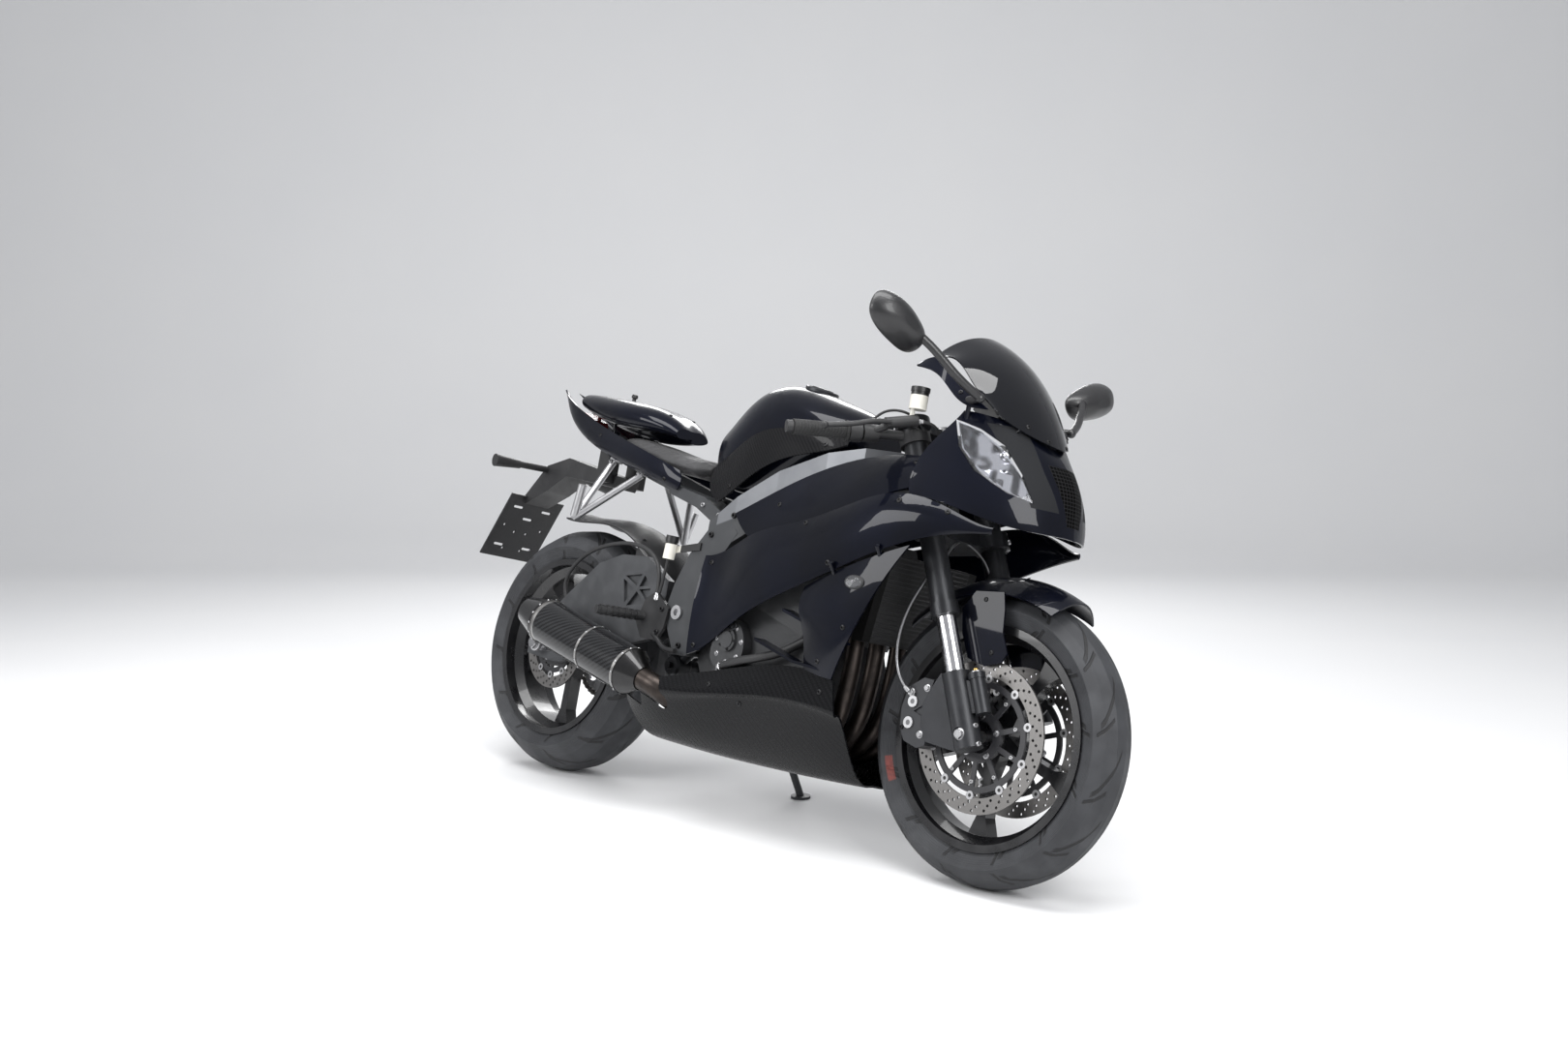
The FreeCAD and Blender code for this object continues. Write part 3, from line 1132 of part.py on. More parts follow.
def rear_hugger():
    """Mudguard over the back tyre, kicked up at its rear edge, on a tab to each arm of the swingarm"""
    rows = []
    for side in HUGGER_SIDE_SHARES:
        places_along = []
        for turn, room in zip(HUGGER_TURNS, HUGGER_ROOMS):
            angle = math.radians(turn)
            radius = REAR_TYRE_RADIUS + room - abs(side) * BODY_HEIGHT * HUGGER_DROP_SHARE
            places_along.append(REAR_AXLE + Vector(radius * math.cos(angle), side * HALF_WIDTH,
                                                   radius * math.sin(angle)))
        rows.append(places_along)
    tab_side = HALF_WIDTH * HUGGER_TAB_SHARE
    right_shares = [(0.310, 0.572), (0.275, 0.595), (0.268, 0.520), (0.300, 0.520)]
    right = slab(right_shares, -(REAR_TYRE_WIDTH / 2 + TYRE_ROOM - RUN_GAP), -tab_side)
    left_shares = [(0.310, 0.572), (0.275, 0.595), (0.268, 0.480), (0.300, 0.478)]
    left = slab(left_shares, tab_side, CHAIN_PLACE + CHAIN_WIDTH / 2 + ARM_GAP - RUN_GAP)
    return fuse([skin(rows, REAR_AXLE, SKIN), right, left])


BEAM_FACE_SHARES = (0.395, 0, 0.408)


def rear_shock():
    """Spring unit from the swingarm's cross beam up to the frame's tie"""
    top = spot(*SHOCK_TIE_SHARES)
    low = spot(*BEAM_FACE_SHARES) + ALONG * (EYE_RADIUS + RUN_GAP)
    run = top - low
    body = rod(low + run * 0.15, top - run * 0.18, SHOCK_RADIUS)
    shaft = rod(low, top, SHOCK_RADIUS * 0.5)
    eyes = [rod(place - ACROSS * EYE_WIDTH / 2, place + ACROSS * EYE_WIDTH / 2,
                EYE_RADIUS) for place in (low, top)]
    tie_way = rod(top - ACROSS * EYE_WIDTH, top + ACROSS * EYE_WIDTH, TIE_RADIUS + FIT_GAP)
    return fuse([body, shaft] + eyes).cut(tie_way)


LAMP_SHARES = [(1.264, 0.66, 0.930), (1.310, 0.54, 0.914), (1.356, 0.44, 0.886), (1.405, 0.40, 0.830),
               (1.436, 0.36, 0.776),
               (1.385, 0.46, 0.790), (1.323, 0.60, 0.826), (1.285, 0.66, 0.872)]
LAMP_RUN_SHARES = (0.06, 0.40, 0)
LAMP_RUN = stretch(*LAMP_RUN_SHARES)
LAMP_GAP = 1.5
COWL_INSIDE_SHARES = (1.0, 0, 0.75)


def cowl_nose():
    """Left half of the nose skin, from behind the lamp to the centre line"""
    shares = [
        [(1.268, 0.585, 0.950), (1.300, 0.52, 0.948), (1.345, 0.38, 0.940), (1.370, 0.20, 0.935),
         (1.380, 0, 0.934)],
        [(1.232, 0.625, 0.905), (1.290, 0.60, 0.900), (1.360, 0.44, 0.893), (1.400, 0.24, 0.890),
         (1.415, 0, 0.890)],
        [(1.200, 0.70, 0.850), (1.290, 0.66, 0.845), (1.380, 0.48, 0.838), (1.435, 0.24, 0.835),
         (1.460, 0, 0.835)],
        [(1.200, 0.80, 0.780), (1.300, 0.72, 0.778), (1.400, 0.54, 0.770), (1.455, 0.28, 0.768),
         (1.478, 0, 0.768)],
        [(1.220, 0.81, 0.755), (1.310, 0.73, 0.745), (1.405, 0.54, 0.722), (1.460, 0.28, 0.718),
         (1.484, 0, 0.718)],
    ]
    return share_skin(shares, COWL_INSIDE_SHARES)


def upper_cowl():
    """Nose of the fairing round the lamps, with a band along each side under the spars"""
    band_shares = [
        [(0.650, 0.585, 0.695), (0.814, 0.585, 0.773), (0.963, 0.58, 0.827), (1.100, 0.605, 0.849),
         (1.190, 0.64, 0.848)],
        [(0.680, 0.60, 0.665), (0.830, 0.65, 0.725), (0.970, 0.69, 0.775), (1.100, 0.72, 0.810),
         (1.200, 0.73, 0.822)],
        [(0.720, 0.62, 0.640), (0.850, 0.69, 0.672), (0.980, 0.755, 0.708), (1.100, 0.80, 0.745),
         (1.200, 0.80, 0.775)],
    ]
    side = share_skin(band_shares, COWL_INSIDE_SHARES)
    half_nose = cowl_nose().cut(outline_prism(places(LAMP_SHARES), LAMP_RUN, LAMP_GAP))
    foot_shares = [[(0.755, 0.594, 0.720), (0.755, 0.50, 0.720)],
                   [(0.900, 0.605, 0.785), (0.900, 0.49, 0.785)],
                   [(1.000, 0.612, 0.820), (1.000, 0.36, 0.820)]]
    left = fuse([side, half_nose] + [peg(foot, PEG_RADIUS, spar()) for foot in foot_shares])
    return fuse([left, mirrored(left)])


def side_skin():
    """Left side panel, from its rear edge to the pointed front below the nose"""
    shares = [
        [(0.584, 0.61, 0.590), (0.740, 0.69, 0.646), (0.900, 0.77, 0.684), (1.050, 0.83, 0.728),
         (1.180, 0.85, 0.760),
         (1.300, 0.77, 0.742), (1.397, 0.62, 0.712)],
        [(0.580, 0.64, 0.510), (0.740, 0.74, 0.580), (0.900, 0.83, 0.635), (1.050, 0.89, 0.690),
         (1.180, 0.91, 0.728),
         (1.300, 0.81, 0.724), (1.397, 0.63, 0.708)],
        [(0.578, 0.64, 0.430), (0.740, 0.75, 0.510), (0.900, 0.85, 0.580), (1.050, 0.91, 0.640),
         (1.180, 0.92, 0.690),
         (1.300, 0.82, 0.704), (1.397, 0.63, 0.704)],
        [(0.576, 0.61, 0.356), (0.740, 0.72, 0.447), (0.900, 0.82, 0.525), (1.050, 0.88, 0.586),
         (1.180, 0.89, 0.641),
         (1.300, 0.80, 0.682), (1.397, 0.62, 0.699)],
    ]
    inside_shares = (0.9, 0, 0.6)
    return share_skin(shares, inside_shares)


def side_panels():
    foot_shares = (0.600, 0, 0.575)
    foot_end_share = 0.620
    face = spot(*foot_shares) + ACROSS * (PLATE_OUT + RUN_GAP)
    foot = rod(face, spot(*foot_shares) + ACROSS * HALF_WIDTH * foot_end_share, PEG_RADIUS)
    brace = peg([(1.060, 0.868, 0.700), (1.060, 0.60, 0.765)], PEG_RADIUS, upper_cowl())
    return both_sides(fuse([side_skin(), foot, brace]))


LIP_SHARES = [[(0.905, 0.492), (1.000, 0.466), (1.085, 0.441), (1.085, 0.436), (1.000, 0.460),
               (0.905, 0.486)],
              [(0.835, 0.420), (0.960, 0.386), (1.050, 0.378), (1.050, 0.373), (0.960, 0.380),
               (0.835, 0.414)]]
LIP_SIDE_SHARES = (0.66, 0.80)


def mid_fairings():
    """Panels beside the radiator down to the belly pan, each with two lips that guide the air out"""
    shares = [
        [(0.960, 0.80, 0.545), (1.050, 0.86, 0.582), (1.140, 0.88, 0.618), (1.240, 0.85, 0.655)],
        [(0.955, 0.80, 0.490), (1.020, 0.86, 0.500), (1.090, 0.89, 0.520), (1.177, 0.88, 0.553)],
        [(0.975, 0.78, 0.440), (1.020, 0.83, 0.440), (1.070, 0.86, 0.440), (1.118, 0.85, 0.445)],
        [(0.985, 0.75, 0.372), (1.020, 0.78, 0.366), (1.050, 0.79, 0.362), (1.075, 0.78, 0.360)],
    ]
    inside_shares = (0.9, 0, 0.5)
    pin_shares = [[(1.050, 0.850, 0.579), (1.052, 0.93, 0.600)],
                  [(1.170, 0.860, 0.626), (1.172, 0.93, 0.646)]]
    pins = [peg(pin, PEG_RADIUS, side_skin()) for pin in pin_shares]
    near, far = LIP_SIDE_SHARES
    lips = [slab(lip, HALF_WIDTH * near, HALF_WIDTH * far) for lip in LIP_SHARES]
    return both_sides(fuse([share_skin(shares, inside_shares)] + lips + pins))


def belly_pan():
    """Lower fairing under the engine, open for the stand and the silencer"""
    right = [
        [(0.424, -0.66, 0.288), (0.560, -0.72, 0.300), (0.760, -0.70, 0.345), (0.930, -0.72, 0.372),
         (1.072, -0.74, 0.358)],
        [(0.395, -0.64, 0.250), (0.560, -0.71, 0.250), (0.760, -0.69, 0.280), (0.930, -0.70, 0.296),
         (1.085, -0.67, 0.286)],
        [(0.420, -0.55, 0.192), (0.580, -0.58, 0.188), (0.760, -0.57, 0.205), (0.930, -0.55, 0.214),
         (1.082, -0.44, 0.214)],
        [(0.450, -0.40, 0.153), (0.600, -0.38, 0.146), (0.760, -0.36, 0.145), (0.930, -0.31, 0.147),
         (1.078, -0.20, 0.150)],
        [(0.455, 0.0, 0.142), (0.600, 0.0, 0.138), (0.760, 0.0, 0.138), (0.930, 0.0, 0.140),
         (1.073, 0.0, 0.145)],
    ]
    left = [[(x, -y, z) for x, y, z in row] for row in reversed(right[:-1])]
    inside_shares = (0.8, 0, 0.35)
    whole = share_skin(right + left, inside_shares)
    stand_way_shares = [(0.300, 0.400), (0.300, 0.100), (0.665, 0.100), (0.665, 0.400)]
    stand_side_share = 0.30
    stand_way = slab(stand_way_shares, HALF_WIDTH * stand_side_share, HALF_WIDTH)
    front = spot(*SILENCER_FRONT_SHARES)
    rear = spot(*SILENCER_REAR_SHARES)
    silencer_way = rod(front + (front - rear) * 0.02, rear, SILENCER_RADIUS * 1.1)
    return whole.cut(stand_way).cut(silencer_way).cut(collector(COLLECTOR_RADIUS + SKIN))


def windscreen():
    right = [
        [(1.150, 0.54, 1.060), (1.215, 0.58, 1.062), (1.278, 0.575, 1.008), (1.335, 0.53, 0.958)],
        [(1.185, 0.36, 1.112), (1.250, 0.36, 1.082), (1.318, 0.36, 1.015), (1.372, 0.34, 0.925)],
        [(1.204, 0.0, 1.136), (1.268, 0.0, 1.100), (1.345, 0.0, 1.022), (1.418, 0.0, 0.903)],
    ]
    left = [[(x, -y, z) for x, y, z in row] for row in reversed(right[:-1])]
    screw = peg([(1.3705, 0.34, 0.925), (1.345, 0.33, 0.910)], PEG_RADIUS * 0.8, cowl_nose())
    inside_shares = (1.1, 0, 0.9)
    return fuse([share_skin(right + left, inside_shares, SCREEN_WALL), screw, mirrored(screw)])


def cowl_wing():
    """Left side piece behind the screen"""
    shares = [
        [(1.128, 0.58, 1.052), (1.195, 0.62, 1.058), (1.262, 0.615, 1.002), (1.325, 0.57, 0.955)],
        [(1.125, 0.61, 1.045), (1.195, 0.66, 1.022), (1.255, 0.67, 0.975), (1.290, 0.62, 0.955)],
    ]
    inside_shares = (1.1, 0, 0.95)
    return share_skin(shares, inside_shares)


def cowl_wings():
    """Side pieces behind the screen, stayed to the cowl, that carry the mirrors"""
    foot = peg([(1.283, 0.610, 0.966), (1.272, 0.560, 0.925)], PEG_RADIUS, cowl_nose())
    return both_sides(fuse([cowl_wing(), foot]))


def headlights():
    """Clear lenses in the cowl's own curve"""
    return both_sides(cowl_nose().common(outline_prism(places(LAMP_SHARES), LAMP_RUN)))


def lamp_bowls():
    """Open tray behind each lens, bright inside"""
    outline = places(LAMP_SHARES)
    depth = LAMP_RUN * 0.55
    back = LAMP_RUN * -0.30
    tray = outline_prism(outline, depth, -LAMP_GAP * 4)
    tray.translate(back)
    hollow = outline_prism(outline, depth, -LAMP_GAP * 4 - SKIN)
    hollow.translate(back + LAMP_RUN * 0.10)
    tray = tray.cut(hollow)
    lens = cowl_nose()
    reach = lens.copy()
    reach.translate(LAMP_RUN * (-RUN_GAP / LAMP_RUN.Length))
    left = tray.cut(lens).cut(reach)
    deepest = spot(*LAMP_SHARES[3]) - LAMP_RUN
    return both_sides(min(left.Solids, key=lambda piece: (piece.CenterOfMass - deepest).Length))


MIRROR_OUTLINE_SHARES = [(1.213, 1.70, 1.104), (1.213, 1.62, 1.132), (1.213, 1.40, 1.128),
                         (1.213, 1.18, 1.098),
                         (1.213, 1.06, 1.062), (1.213, 1.14, 1.038), (1.213, 1.38, 1.040),
                         (1.213, 1.60, 1.062)]
MIRROR_STEP_SHARES = [(0, 0.94), (0.10, 1.0), (0.38, 0.95), (0.70, 0.76), (0.92, 0.48), (1.0, 0.25)]
MIRROR_STALK_SHARES = [(1.318, 0.66, 0.972), (1.296, 0.86, 1.000), (1.262, 1.08, 1.050),
                       (1.238, 1.20, 1.074)]
GLASS_SHARE = 0.87


def mirrors():
    """Rounded mirror heads with a sunk glass, on bent stalks beside the screen"""
    outline = places(MIRROR_OUTLINE_SHARES)
    head = domed(outline, ALONG, [(MIRROR_DEPTH * rise, share) for rise, share in MIRROR_STEP_SHARES])
    glass_way = domed(outline, ALONG, [(-CUT_OVERRUN, GLASS_SHARE), (GLASS_DEPTH, GLASS_SHARE)])
    stalk = bent_tube(places(MIRROR_STALK_SHARES), STAND_RADIUS)
    foot_shares = [(1.318, 0.66, 0.972), (1.270, 0.59, 0.970)]
    foot = peg(foot_shares, STAND_RADIUS, cowl_wing())
    knuckle = Part.makeSphere(STAND_RADIUS * 1.15, spot(*MIRROR_STALK_SHARES[0]))
    return both_sides(fuse([head.cut(glass_way), stalk, knuckle, foot]))


def instrument_cluster():
    """Dial case behind the screen, on a stay from the inside of the nose"""
    face_shares = [(1.240, 0.990), (1.232, 0.968), (1.275, 0.935), (1.310, 0.958), (1.268, 1.008)]
    face_side_share = 0.30
    face = slab(face_shares, -HALF_WIDTH * face_side_share, HALF_WIDTH * face_side_share)
    stay_shares = [(1.290, 0.950), (1.275, 0.937), (1.400, 0.800), (1.410, 0.820)]
    stay_side_share = 0.12
    stay = slab(stay_shares, -HALF_WIDTH * stay_side_share, HALF_WIDTH * stay_side_share)
    foot = peg([(1.395, 0.07, 0.815), (1.480, 0.07, 0.812)], PEG_RADIUS, cowl_nose())
    return fuse([face, stay, foot, mirrored(foot)])


FENDER_SIDE_SHARES = (-1.0, -0.84, -0.45, 0, 0.45, 0.84, 1.0)
FENDER_TURNS = (137, 124, 112, 100, 88, 76, 63)


FENDER_PLATE_SHARES = [(1.294, 0.550), (1.322, 0.590), (1.392, 0.594), (1.400, 0.560), (1.404, 0.514),
                       (1.423, 0.473),
                       (1.412, 0.452), (1.372, 0.441), (1.328, 0.452), (1.304, 0.500)]
FENDER_PLATE_SHARE = 0.965


def front_fender():
    """Mudguard over the front tyre, with a plate down each side in front of the fork leg"""
    rows = []
    radius = FRONT_TYRE_RADIUS + FENDER_ROOM
    for side in FENDER_SIDE_SHARES:
        depth = radius - side ** 2 * FENDER_DEPTH
        angles = [math.radians(turn) for turn in FENDER_TURNS]
        rows.append([FRONT_AXLE + Vector(depth * math.cos(angle), side * FENDER_HALF_WIDTH,
                                         depth * math.sin(angle))
                     for angle in angles])
    side_place = FENDER_HALF_WIDTH - SKIN / 2
    height_up = radius - FENDER_DEPTH - SKIN / 2
    foot = peg_between(on_fork(height_up, side_place), on_fork(height_up, LEG_PLACE), PEG_RADIUS,
                       fork_tubes())
    plate_in = FENDER_HALF_WIDTH * FENDER_PLATE_SHARE
    plate = slab(FENDER_PLATE_SHARES, plate_in, plate_in + SKIN)
    return fuse([skin(rows, FRONT_AXLE), foot, mirrored(foot), plate, mirrored(plate)])


PISTON_SHARES = [(1.232, 0, 0.346), (1.229, 0, 0.302)]


def front_calipers():
    """Calipers on the lug arms, slotted over the disc, with two round caps on the outer side"""
    cap_run = ACROSS * (SKIN + PISTON_CAP_DEPTH)
    body = slab(CALIPER_REAR_SHARES + CALIPER_FRONT_SHARES, FRONT_DISC_PLACE - CALIPER_THICKNESS / 2,
                LEG_PLACE)
    cap_roots = [Vector(place.x, LEG_PLACE - SKIN, place.z) for place in places(PISTON_SHARES)]
    caps = [rod(root, root + cap_run, PISTON_CAP_RADIUS) for root in cap_roots]
    waist_shares = [(1.262, 0.345), (1.236, 0.327), (1.262, 0.318)]
    waist = slab(waist_shares, LEG_PLACE - SKIN, LEG_PLACE + SKIN)
    slot = Part.makeCylinder(FRONT_DISC_RADIUS + CUT_OVERRUN, DISC_THICKNESS * 2.4,
                             FRONT_AXLE + ACROSS * (FRONT_DISC_PLACE - DISC_THICKNESS * 1.2), ACROSS)
    return both_sides(fuse([body] + caps).cut(waist).cut(slot))


def stand_frame():
    """Placement of the upright bike as it leans on its side stand, both tyres on the ground"""
    turn = math.radians(STAND_LEAN)
    drops = []
    for radius, width in ((REAR_TYRE_RADIUS, REAR_TYRE_WIDTH), (FRONT_TYRE_RADIUS, FRONT_TYRE_WIDTH)):
        half = width / 2
        drop = width * CROWN_DROP_SHARE
        crown = (half * half + drop * drop) / (2 * drop)
        sweep = math.asin(half / crown)
        lowest = 0
        for step in range(CROWN_STEPS + 1):
            angle = sweep * (2 * step / CROWN_STEPS - 1)
            across = crown * math.sin(angle)
            round_radius = radius - crown * (1 - math.cos(angle))
            lowest = max(lowest, across * math.sin(turn) + round_radius * math.cos(turn))
        drops.append(radius * math.cos(turn) - lowest)
    pitch = math.degrees(math.atan((drops[1] - drops[0]) / WHEELBASE))
    leaned = Placement(ORIGIN, Rotation(ALONG, -STAND_LEAN))
    pitched = Placement(ORIGIN, Rotation(ACROSS, pitch))
    lifted = Placement(Vector(0, 0, -drops[0]), Rotation())
    return lifted.multiply(pitched).multiply(leaned)


def side_stand():
    """Leg from its pivot under the frame down to a flat foot on the ground"""
    pivot, axis = stand_hinge()
    foot = stand_foot()
    normal = stand_frame().inverse().Rotation.multVec(UP)
    pad = Part.makeCylinder(STAND_FOOT_RADIUS, STAND_FOOT_THICKNESS, foot, normal)
    leg = rod(foot + normal * STAND_FOOT_THICKNESS / 2, pivot, STAND_RADIUS)
    eye = rod(pivot - axis * STAND_RADIUS, pivot + axis * STAND_RADIUS, STAND_EYE_RADIUS)
    whole = fuse([pad, leg, eye])
    return whole.cut(rod(pivot - axis * HALF_WIDTH, pivot + axis * HALF_WIDTH,
                         STAND_PIN_RADIUS + FIT_GAP))


PARTS = {
    "front_tyre": lambda: tyre(FRONT_AXLE, FRONT_TYRE_RADIUS, FRONT_TYRE_WIDTH, FRONT_RIM_WIDTH),
    "front_rim": lambda: rim(FRONT_AXLE, FRONT_RIM_WIDTH, FRONT_HUB_WIDTH),
    "front_discs": front_discs,
    "rear_tyre": lambda: tyre(REAR_AXLE, REAR_TYRE_RADIUS, REAR_TYRE_WIDTH, REAR_RIM_WIDTH),
    "rear_rim": lambda: rim(REAR_AXLE, REAR_RIM_WIDTH, REAR_HUB_WIDTH),
    "rear_disc": rear_disc,
    "rear_sprocket": rear_sprocket,
    "drive_chain": drive_chain,
    "front_axle": front_axle,
    "fork_sliders": fork_sliders,
    "fork_lugs": fork_lugs,
    "fork_tubes": fork_tubes,
    "lower_yoke": lower_yoke,
    "top_yoke": top_yoke,
    "handlebars": handlebars,
    "grips": grips,
    "bar_controls": bar_controls,
    "front_reservoir": front_reservoir,
    "front_fender": front_fender,
    "front_calipers": front_calipers,
    "main_frame": main_frame,
    "pivot_shaft": pivot_shaft,
    "subframe": subframe,
    "engine_block": engine_block,
    "engine_covers": engine_covers,
    "exhaust_headers": exhaust_headers,
    "silencer": silencer,
    "radiator": radiator,
    "fuel_tank": fuel_tank,
    "tank_covers": tank_covers,
    "rider_seat": rider_seat,
    "seat_cowl": seat_cowl,
    "tail_fairing": tail_fairing,
    "tail_light": tail_light,
    "plate_holder": plate_holder,
    "pillion_hangers": pillion_hangers,
    "rider_footrests": rider_footrests,
    "rear_reservoir": rear_reservoir,
    "swingarm": swingarm,
    "rear_axle": rear_axle,
    "rear_caliper": rear_caliper,
    "rear_hugger": rear_hugger,
    "rear_shock": rear_shock,
    "upper_cowl": upper_cowl,
    "side_panels": side_panels,
    "mid_fairings": mid_fairings,
    "belly_pan": belly_pan,
    "windscreen": windscreen,
    "cowl_wings": cowl_wings,
    "headlights": headlights,
    "lamp_bowls": lamp_bowls,
    "mirrors": mirrors,
    "instrument_cluster": instrument_cluster,
    "side_stand": side_stand,
}


def main():
    os.makedirs("parts", exist_ok=True)
    leaned = stand_frame()
    shapes = {}
    for name, make in PARTS.items():
        shape = make()
        shape.Placement = leaned.multiply(shape.Placement)
        shapes[name] = shape
    box = Part.makeCompound(list(shapes.values())).optimalBoundingBox(False, False)
    centred = Placement(Vector(-(box.XMin + box.XMax) / 2, -(box.YMin + box.YMax) / 2, 0), Rotation())
    for name, shape in shapes.items():
        shape.Placement = centred.multiply(shape.Placement)
        shape.exportStep(os.path.join("parts", name + ".step"))
    return centred.multiply(leaned)


standing = main()
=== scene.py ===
import json
import math

import bmesh
import bpy
from mathutils import Euler, Matrix, Vector
from mathutils.bvhtree import BVHTree


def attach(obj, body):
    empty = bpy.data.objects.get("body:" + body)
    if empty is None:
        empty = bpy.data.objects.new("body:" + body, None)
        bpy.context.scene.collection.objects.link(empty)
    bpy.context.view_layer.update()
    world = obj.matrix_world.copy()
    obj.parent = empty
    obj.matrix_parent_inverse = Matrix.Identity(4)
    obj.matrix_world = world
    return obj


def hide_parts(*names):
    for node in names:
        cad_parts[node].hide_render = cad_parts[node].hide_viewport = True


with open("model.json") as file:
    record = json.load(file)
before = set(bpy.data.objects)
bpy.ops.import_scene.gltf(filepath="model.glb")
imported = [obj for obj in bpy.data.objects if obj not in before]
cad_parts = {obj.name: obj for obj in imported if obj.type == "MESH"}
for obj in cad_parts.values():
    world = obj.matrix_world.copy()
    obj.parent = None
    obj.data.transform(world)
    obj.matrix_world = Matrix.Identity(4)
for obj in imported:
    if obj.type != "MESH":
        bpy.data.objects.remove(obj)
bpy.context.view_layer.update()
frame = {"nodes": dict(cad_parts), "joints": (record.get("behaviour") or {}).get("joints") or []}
nodes = frame["nodes"]
print("frame loaded,", len(nodes), "nodes")

# The bike is drawn upright, in metres: x forward of the rear axle, y to its left, z from the ground.
stance = {"lean": 14.0, "nose": 0.03, "rearAxle": (0.0, 0.0, 0.315), "frontAxle": (1.380, 0.0, 0.300)}
tilt = (-math.radians(stance["lean"]), math.radians(stance["nose"]), 0)
turned = Euler(tilt).to_matrix()
rearHub = next(joint for joint in frame["joints"] if joint["name"] == "rear_wheel_spin")
place = Vector(rearHub["pos_m"]) - turned @ Vector(stance["rearAxle"])
leaned = Matrix.Translation(place) @ turned.to_4x4()


def onBike(x, y, z):
    return leaned @ Vector((x, y, z))


def wayOn(x, y, z):
    return (turned @ Vector((x, y, z))).normalized()


class Wire:  # one socket, used like a number
    def __init__(self, finish, socket):
        self.finish = finish
        self.socket = socket

    def sum(self, kind, other, flipped=False):
        first, second = (other, self) if flipped else (self, other)
        return self.finish.math(kind, first, second)

    def __add__(self, other):
        return self.sum("ADD", other)

    def __radd__(self, other):
        return self.sum("ADD", other, True)

    def __sub__(self, other):
        return self.sum("SUBTRACT", other)

    def __rsub__(self, other):
        return self.sum("SUBTRACT", other, True)

    def __mul__(self, other):
        return self.sum("MULTIPLY", other)

    def __rmul__(self, other):
        return self.sum("MULTIPLY", other, True)

    def __truediv__(self, other):
        return self.sum("DIVIDE", other)

    def __rtruediv__(self, other):
        return self.sum("DIVIDE", other, True)

    def __mod__(self, other):
        return self.sum("FLOORED_MODULO", other)

    def __pow__(self, other):
        return self.sum("POWER", other)

    def __gt__(self, other):
        return self.sum("GREATER_THAN", other)

    def __lt__(self, other):
        return self.sum("LESS_THAN", other)

    def __abs__(self):
        return self.finish.math("ABSOLUTE", self)


sockets = {
    "color": "Base Color", "rough": "Roughness", "metal": "Metallic", "coat": "Coat Weight",
    "coatRough": "Coat Roughness", "through": "Transmission Weight", "ior": "IOR", "normal": "Normal",
    "alpha": "Alpha", "sheen": "Sheen Weight", "sheenRough": "Sheen Roughness", "specular": "Specular IOR Level",
}


class Finish:  # one material and its nodes
    def __init__(self, name, **look):
        self.material = bpy.data.materials.new(name)
        self.material.use_nodes = True
        self.tree = self.material.node_tree
        self.shader = self.tree.nodes["Principled BSDF"]
        for key, value in look.items():
            self.set(key, value)

    def set(self, key, value):
        self.feed(self.shader.inputs[sockets[key]], value)

    def feed(self, socket, value):
        if isinstance(value, Wire):
            self.tree.links.new(value.socket, socket)
        elif isinstance(value, (tuple, list)) and len(value) == 3 and socket.type == "RGBA":
            socket.default_value = (*value, 1)
        else:
            socket.default_value = value

    def node(self, kind, settings, values, out=0):
        made = self.tree.nodes.new(kind)
        for key, value in settings.items():
            setattr(made, key, value)
        for key, value in values.items():
            self.feed(made.inputs[key], value)
        return Wire(self, made.outputs[out])

    def math(self, kind, *values):
        return self.node("ShaderNodeMath", {"operation": kind}, dict(enumerate(values)))

    def place(self):
        return self.node("ShaderNodeTexCoord", {}, {}, "Object")

    def upright(self, centre=(0, 0, 0)):
        return self.moved(onBike(*centre), tilt)

    def moved(self, start, turn):
        return self.node("ShaderNodeMapping", {"vector_type": "TEXTURE"},
                         {"Vector": self.place(), "Location": tuple(start), "Rotation": tuple(turn)})

    def parts(self, vector):
        return [self.node("ShaderNodeSeparateXYZ", {}, {0: vector}, axis) for axis in range(3)]

    def noise(self, vector, scale, detail=3, rough=0.5):
        return self.node("ShaderNodeTexNoise", {},
                         {"Vector": vector, "Scale": scale, "Detail": detail, "Roughness": rough})

    def blend(self, share, first, second):
        return self.node("ShaderNodeMix", {"data_type": "RGBA"}, {0: share, 6: first, 7: second}, 2)

    def ramp(self, value, low, high):
        return self.node("ShaderNodeMapRange", {"interpolation_type": "SMOOTHSTEP"},
                         {"Value": value, "From Min": low, "From Max": high})

    def bump(self, height, depth, strength):
        return self.node("ShaderNodeBump", {}, {"Height": height, "Distance": depth, "Strength": strength})

    def least(self, first, second):
        return self.math("MINIMUM", first, second)

    def most(self, first, second):
        return self.math("MAXIMUM", first, second)

    def reach(self, first, second):
        return self.math("SQRT", first * first + second * second)

    def round(self, centre):  # distance from an axle, angle about it and place along it
        x, y, z = self.parts(self.upright(centre))
        return self.reach(x, z), self.math("ARCTAN2", z, x), y


def between(value, low, high):
    return (value > low) * (value < high)


def zigzag(value, size):  # 0 in the middle of each step, 0.5 at its ends
    return abs((value / size) % 1 - 0.5)


def overUnder(u, v):  # threads that lie two over and two under: 1 or 0
    return ((u - u % 1) + (v - v % 1)) % 4 < 1.9


finishes = {}


def keep(name, finish):
    finishes[name] = finish.material
    return finish


# Lacquer: fine flakes, haze, dust and a little orange peel
paintLook = {
    "base": {"coat": 0.42, "coatRough": 0.02, "ior": 1.42, "specular": 0.05}, "rough": 0.30, "metal": 0.15,
    "black": (0.0020, 0.0024, 0.0048), "flake": (0.005, 0.008, 0.026), "flakeScale": 2600, "flakeShare": 0.5,
    "hazeScale": 4, "hazeShare": 0.16, "dustScale": 90, "dustRough": 0.08, "peelScale": 160, "peelDepth": 0.00006,
}


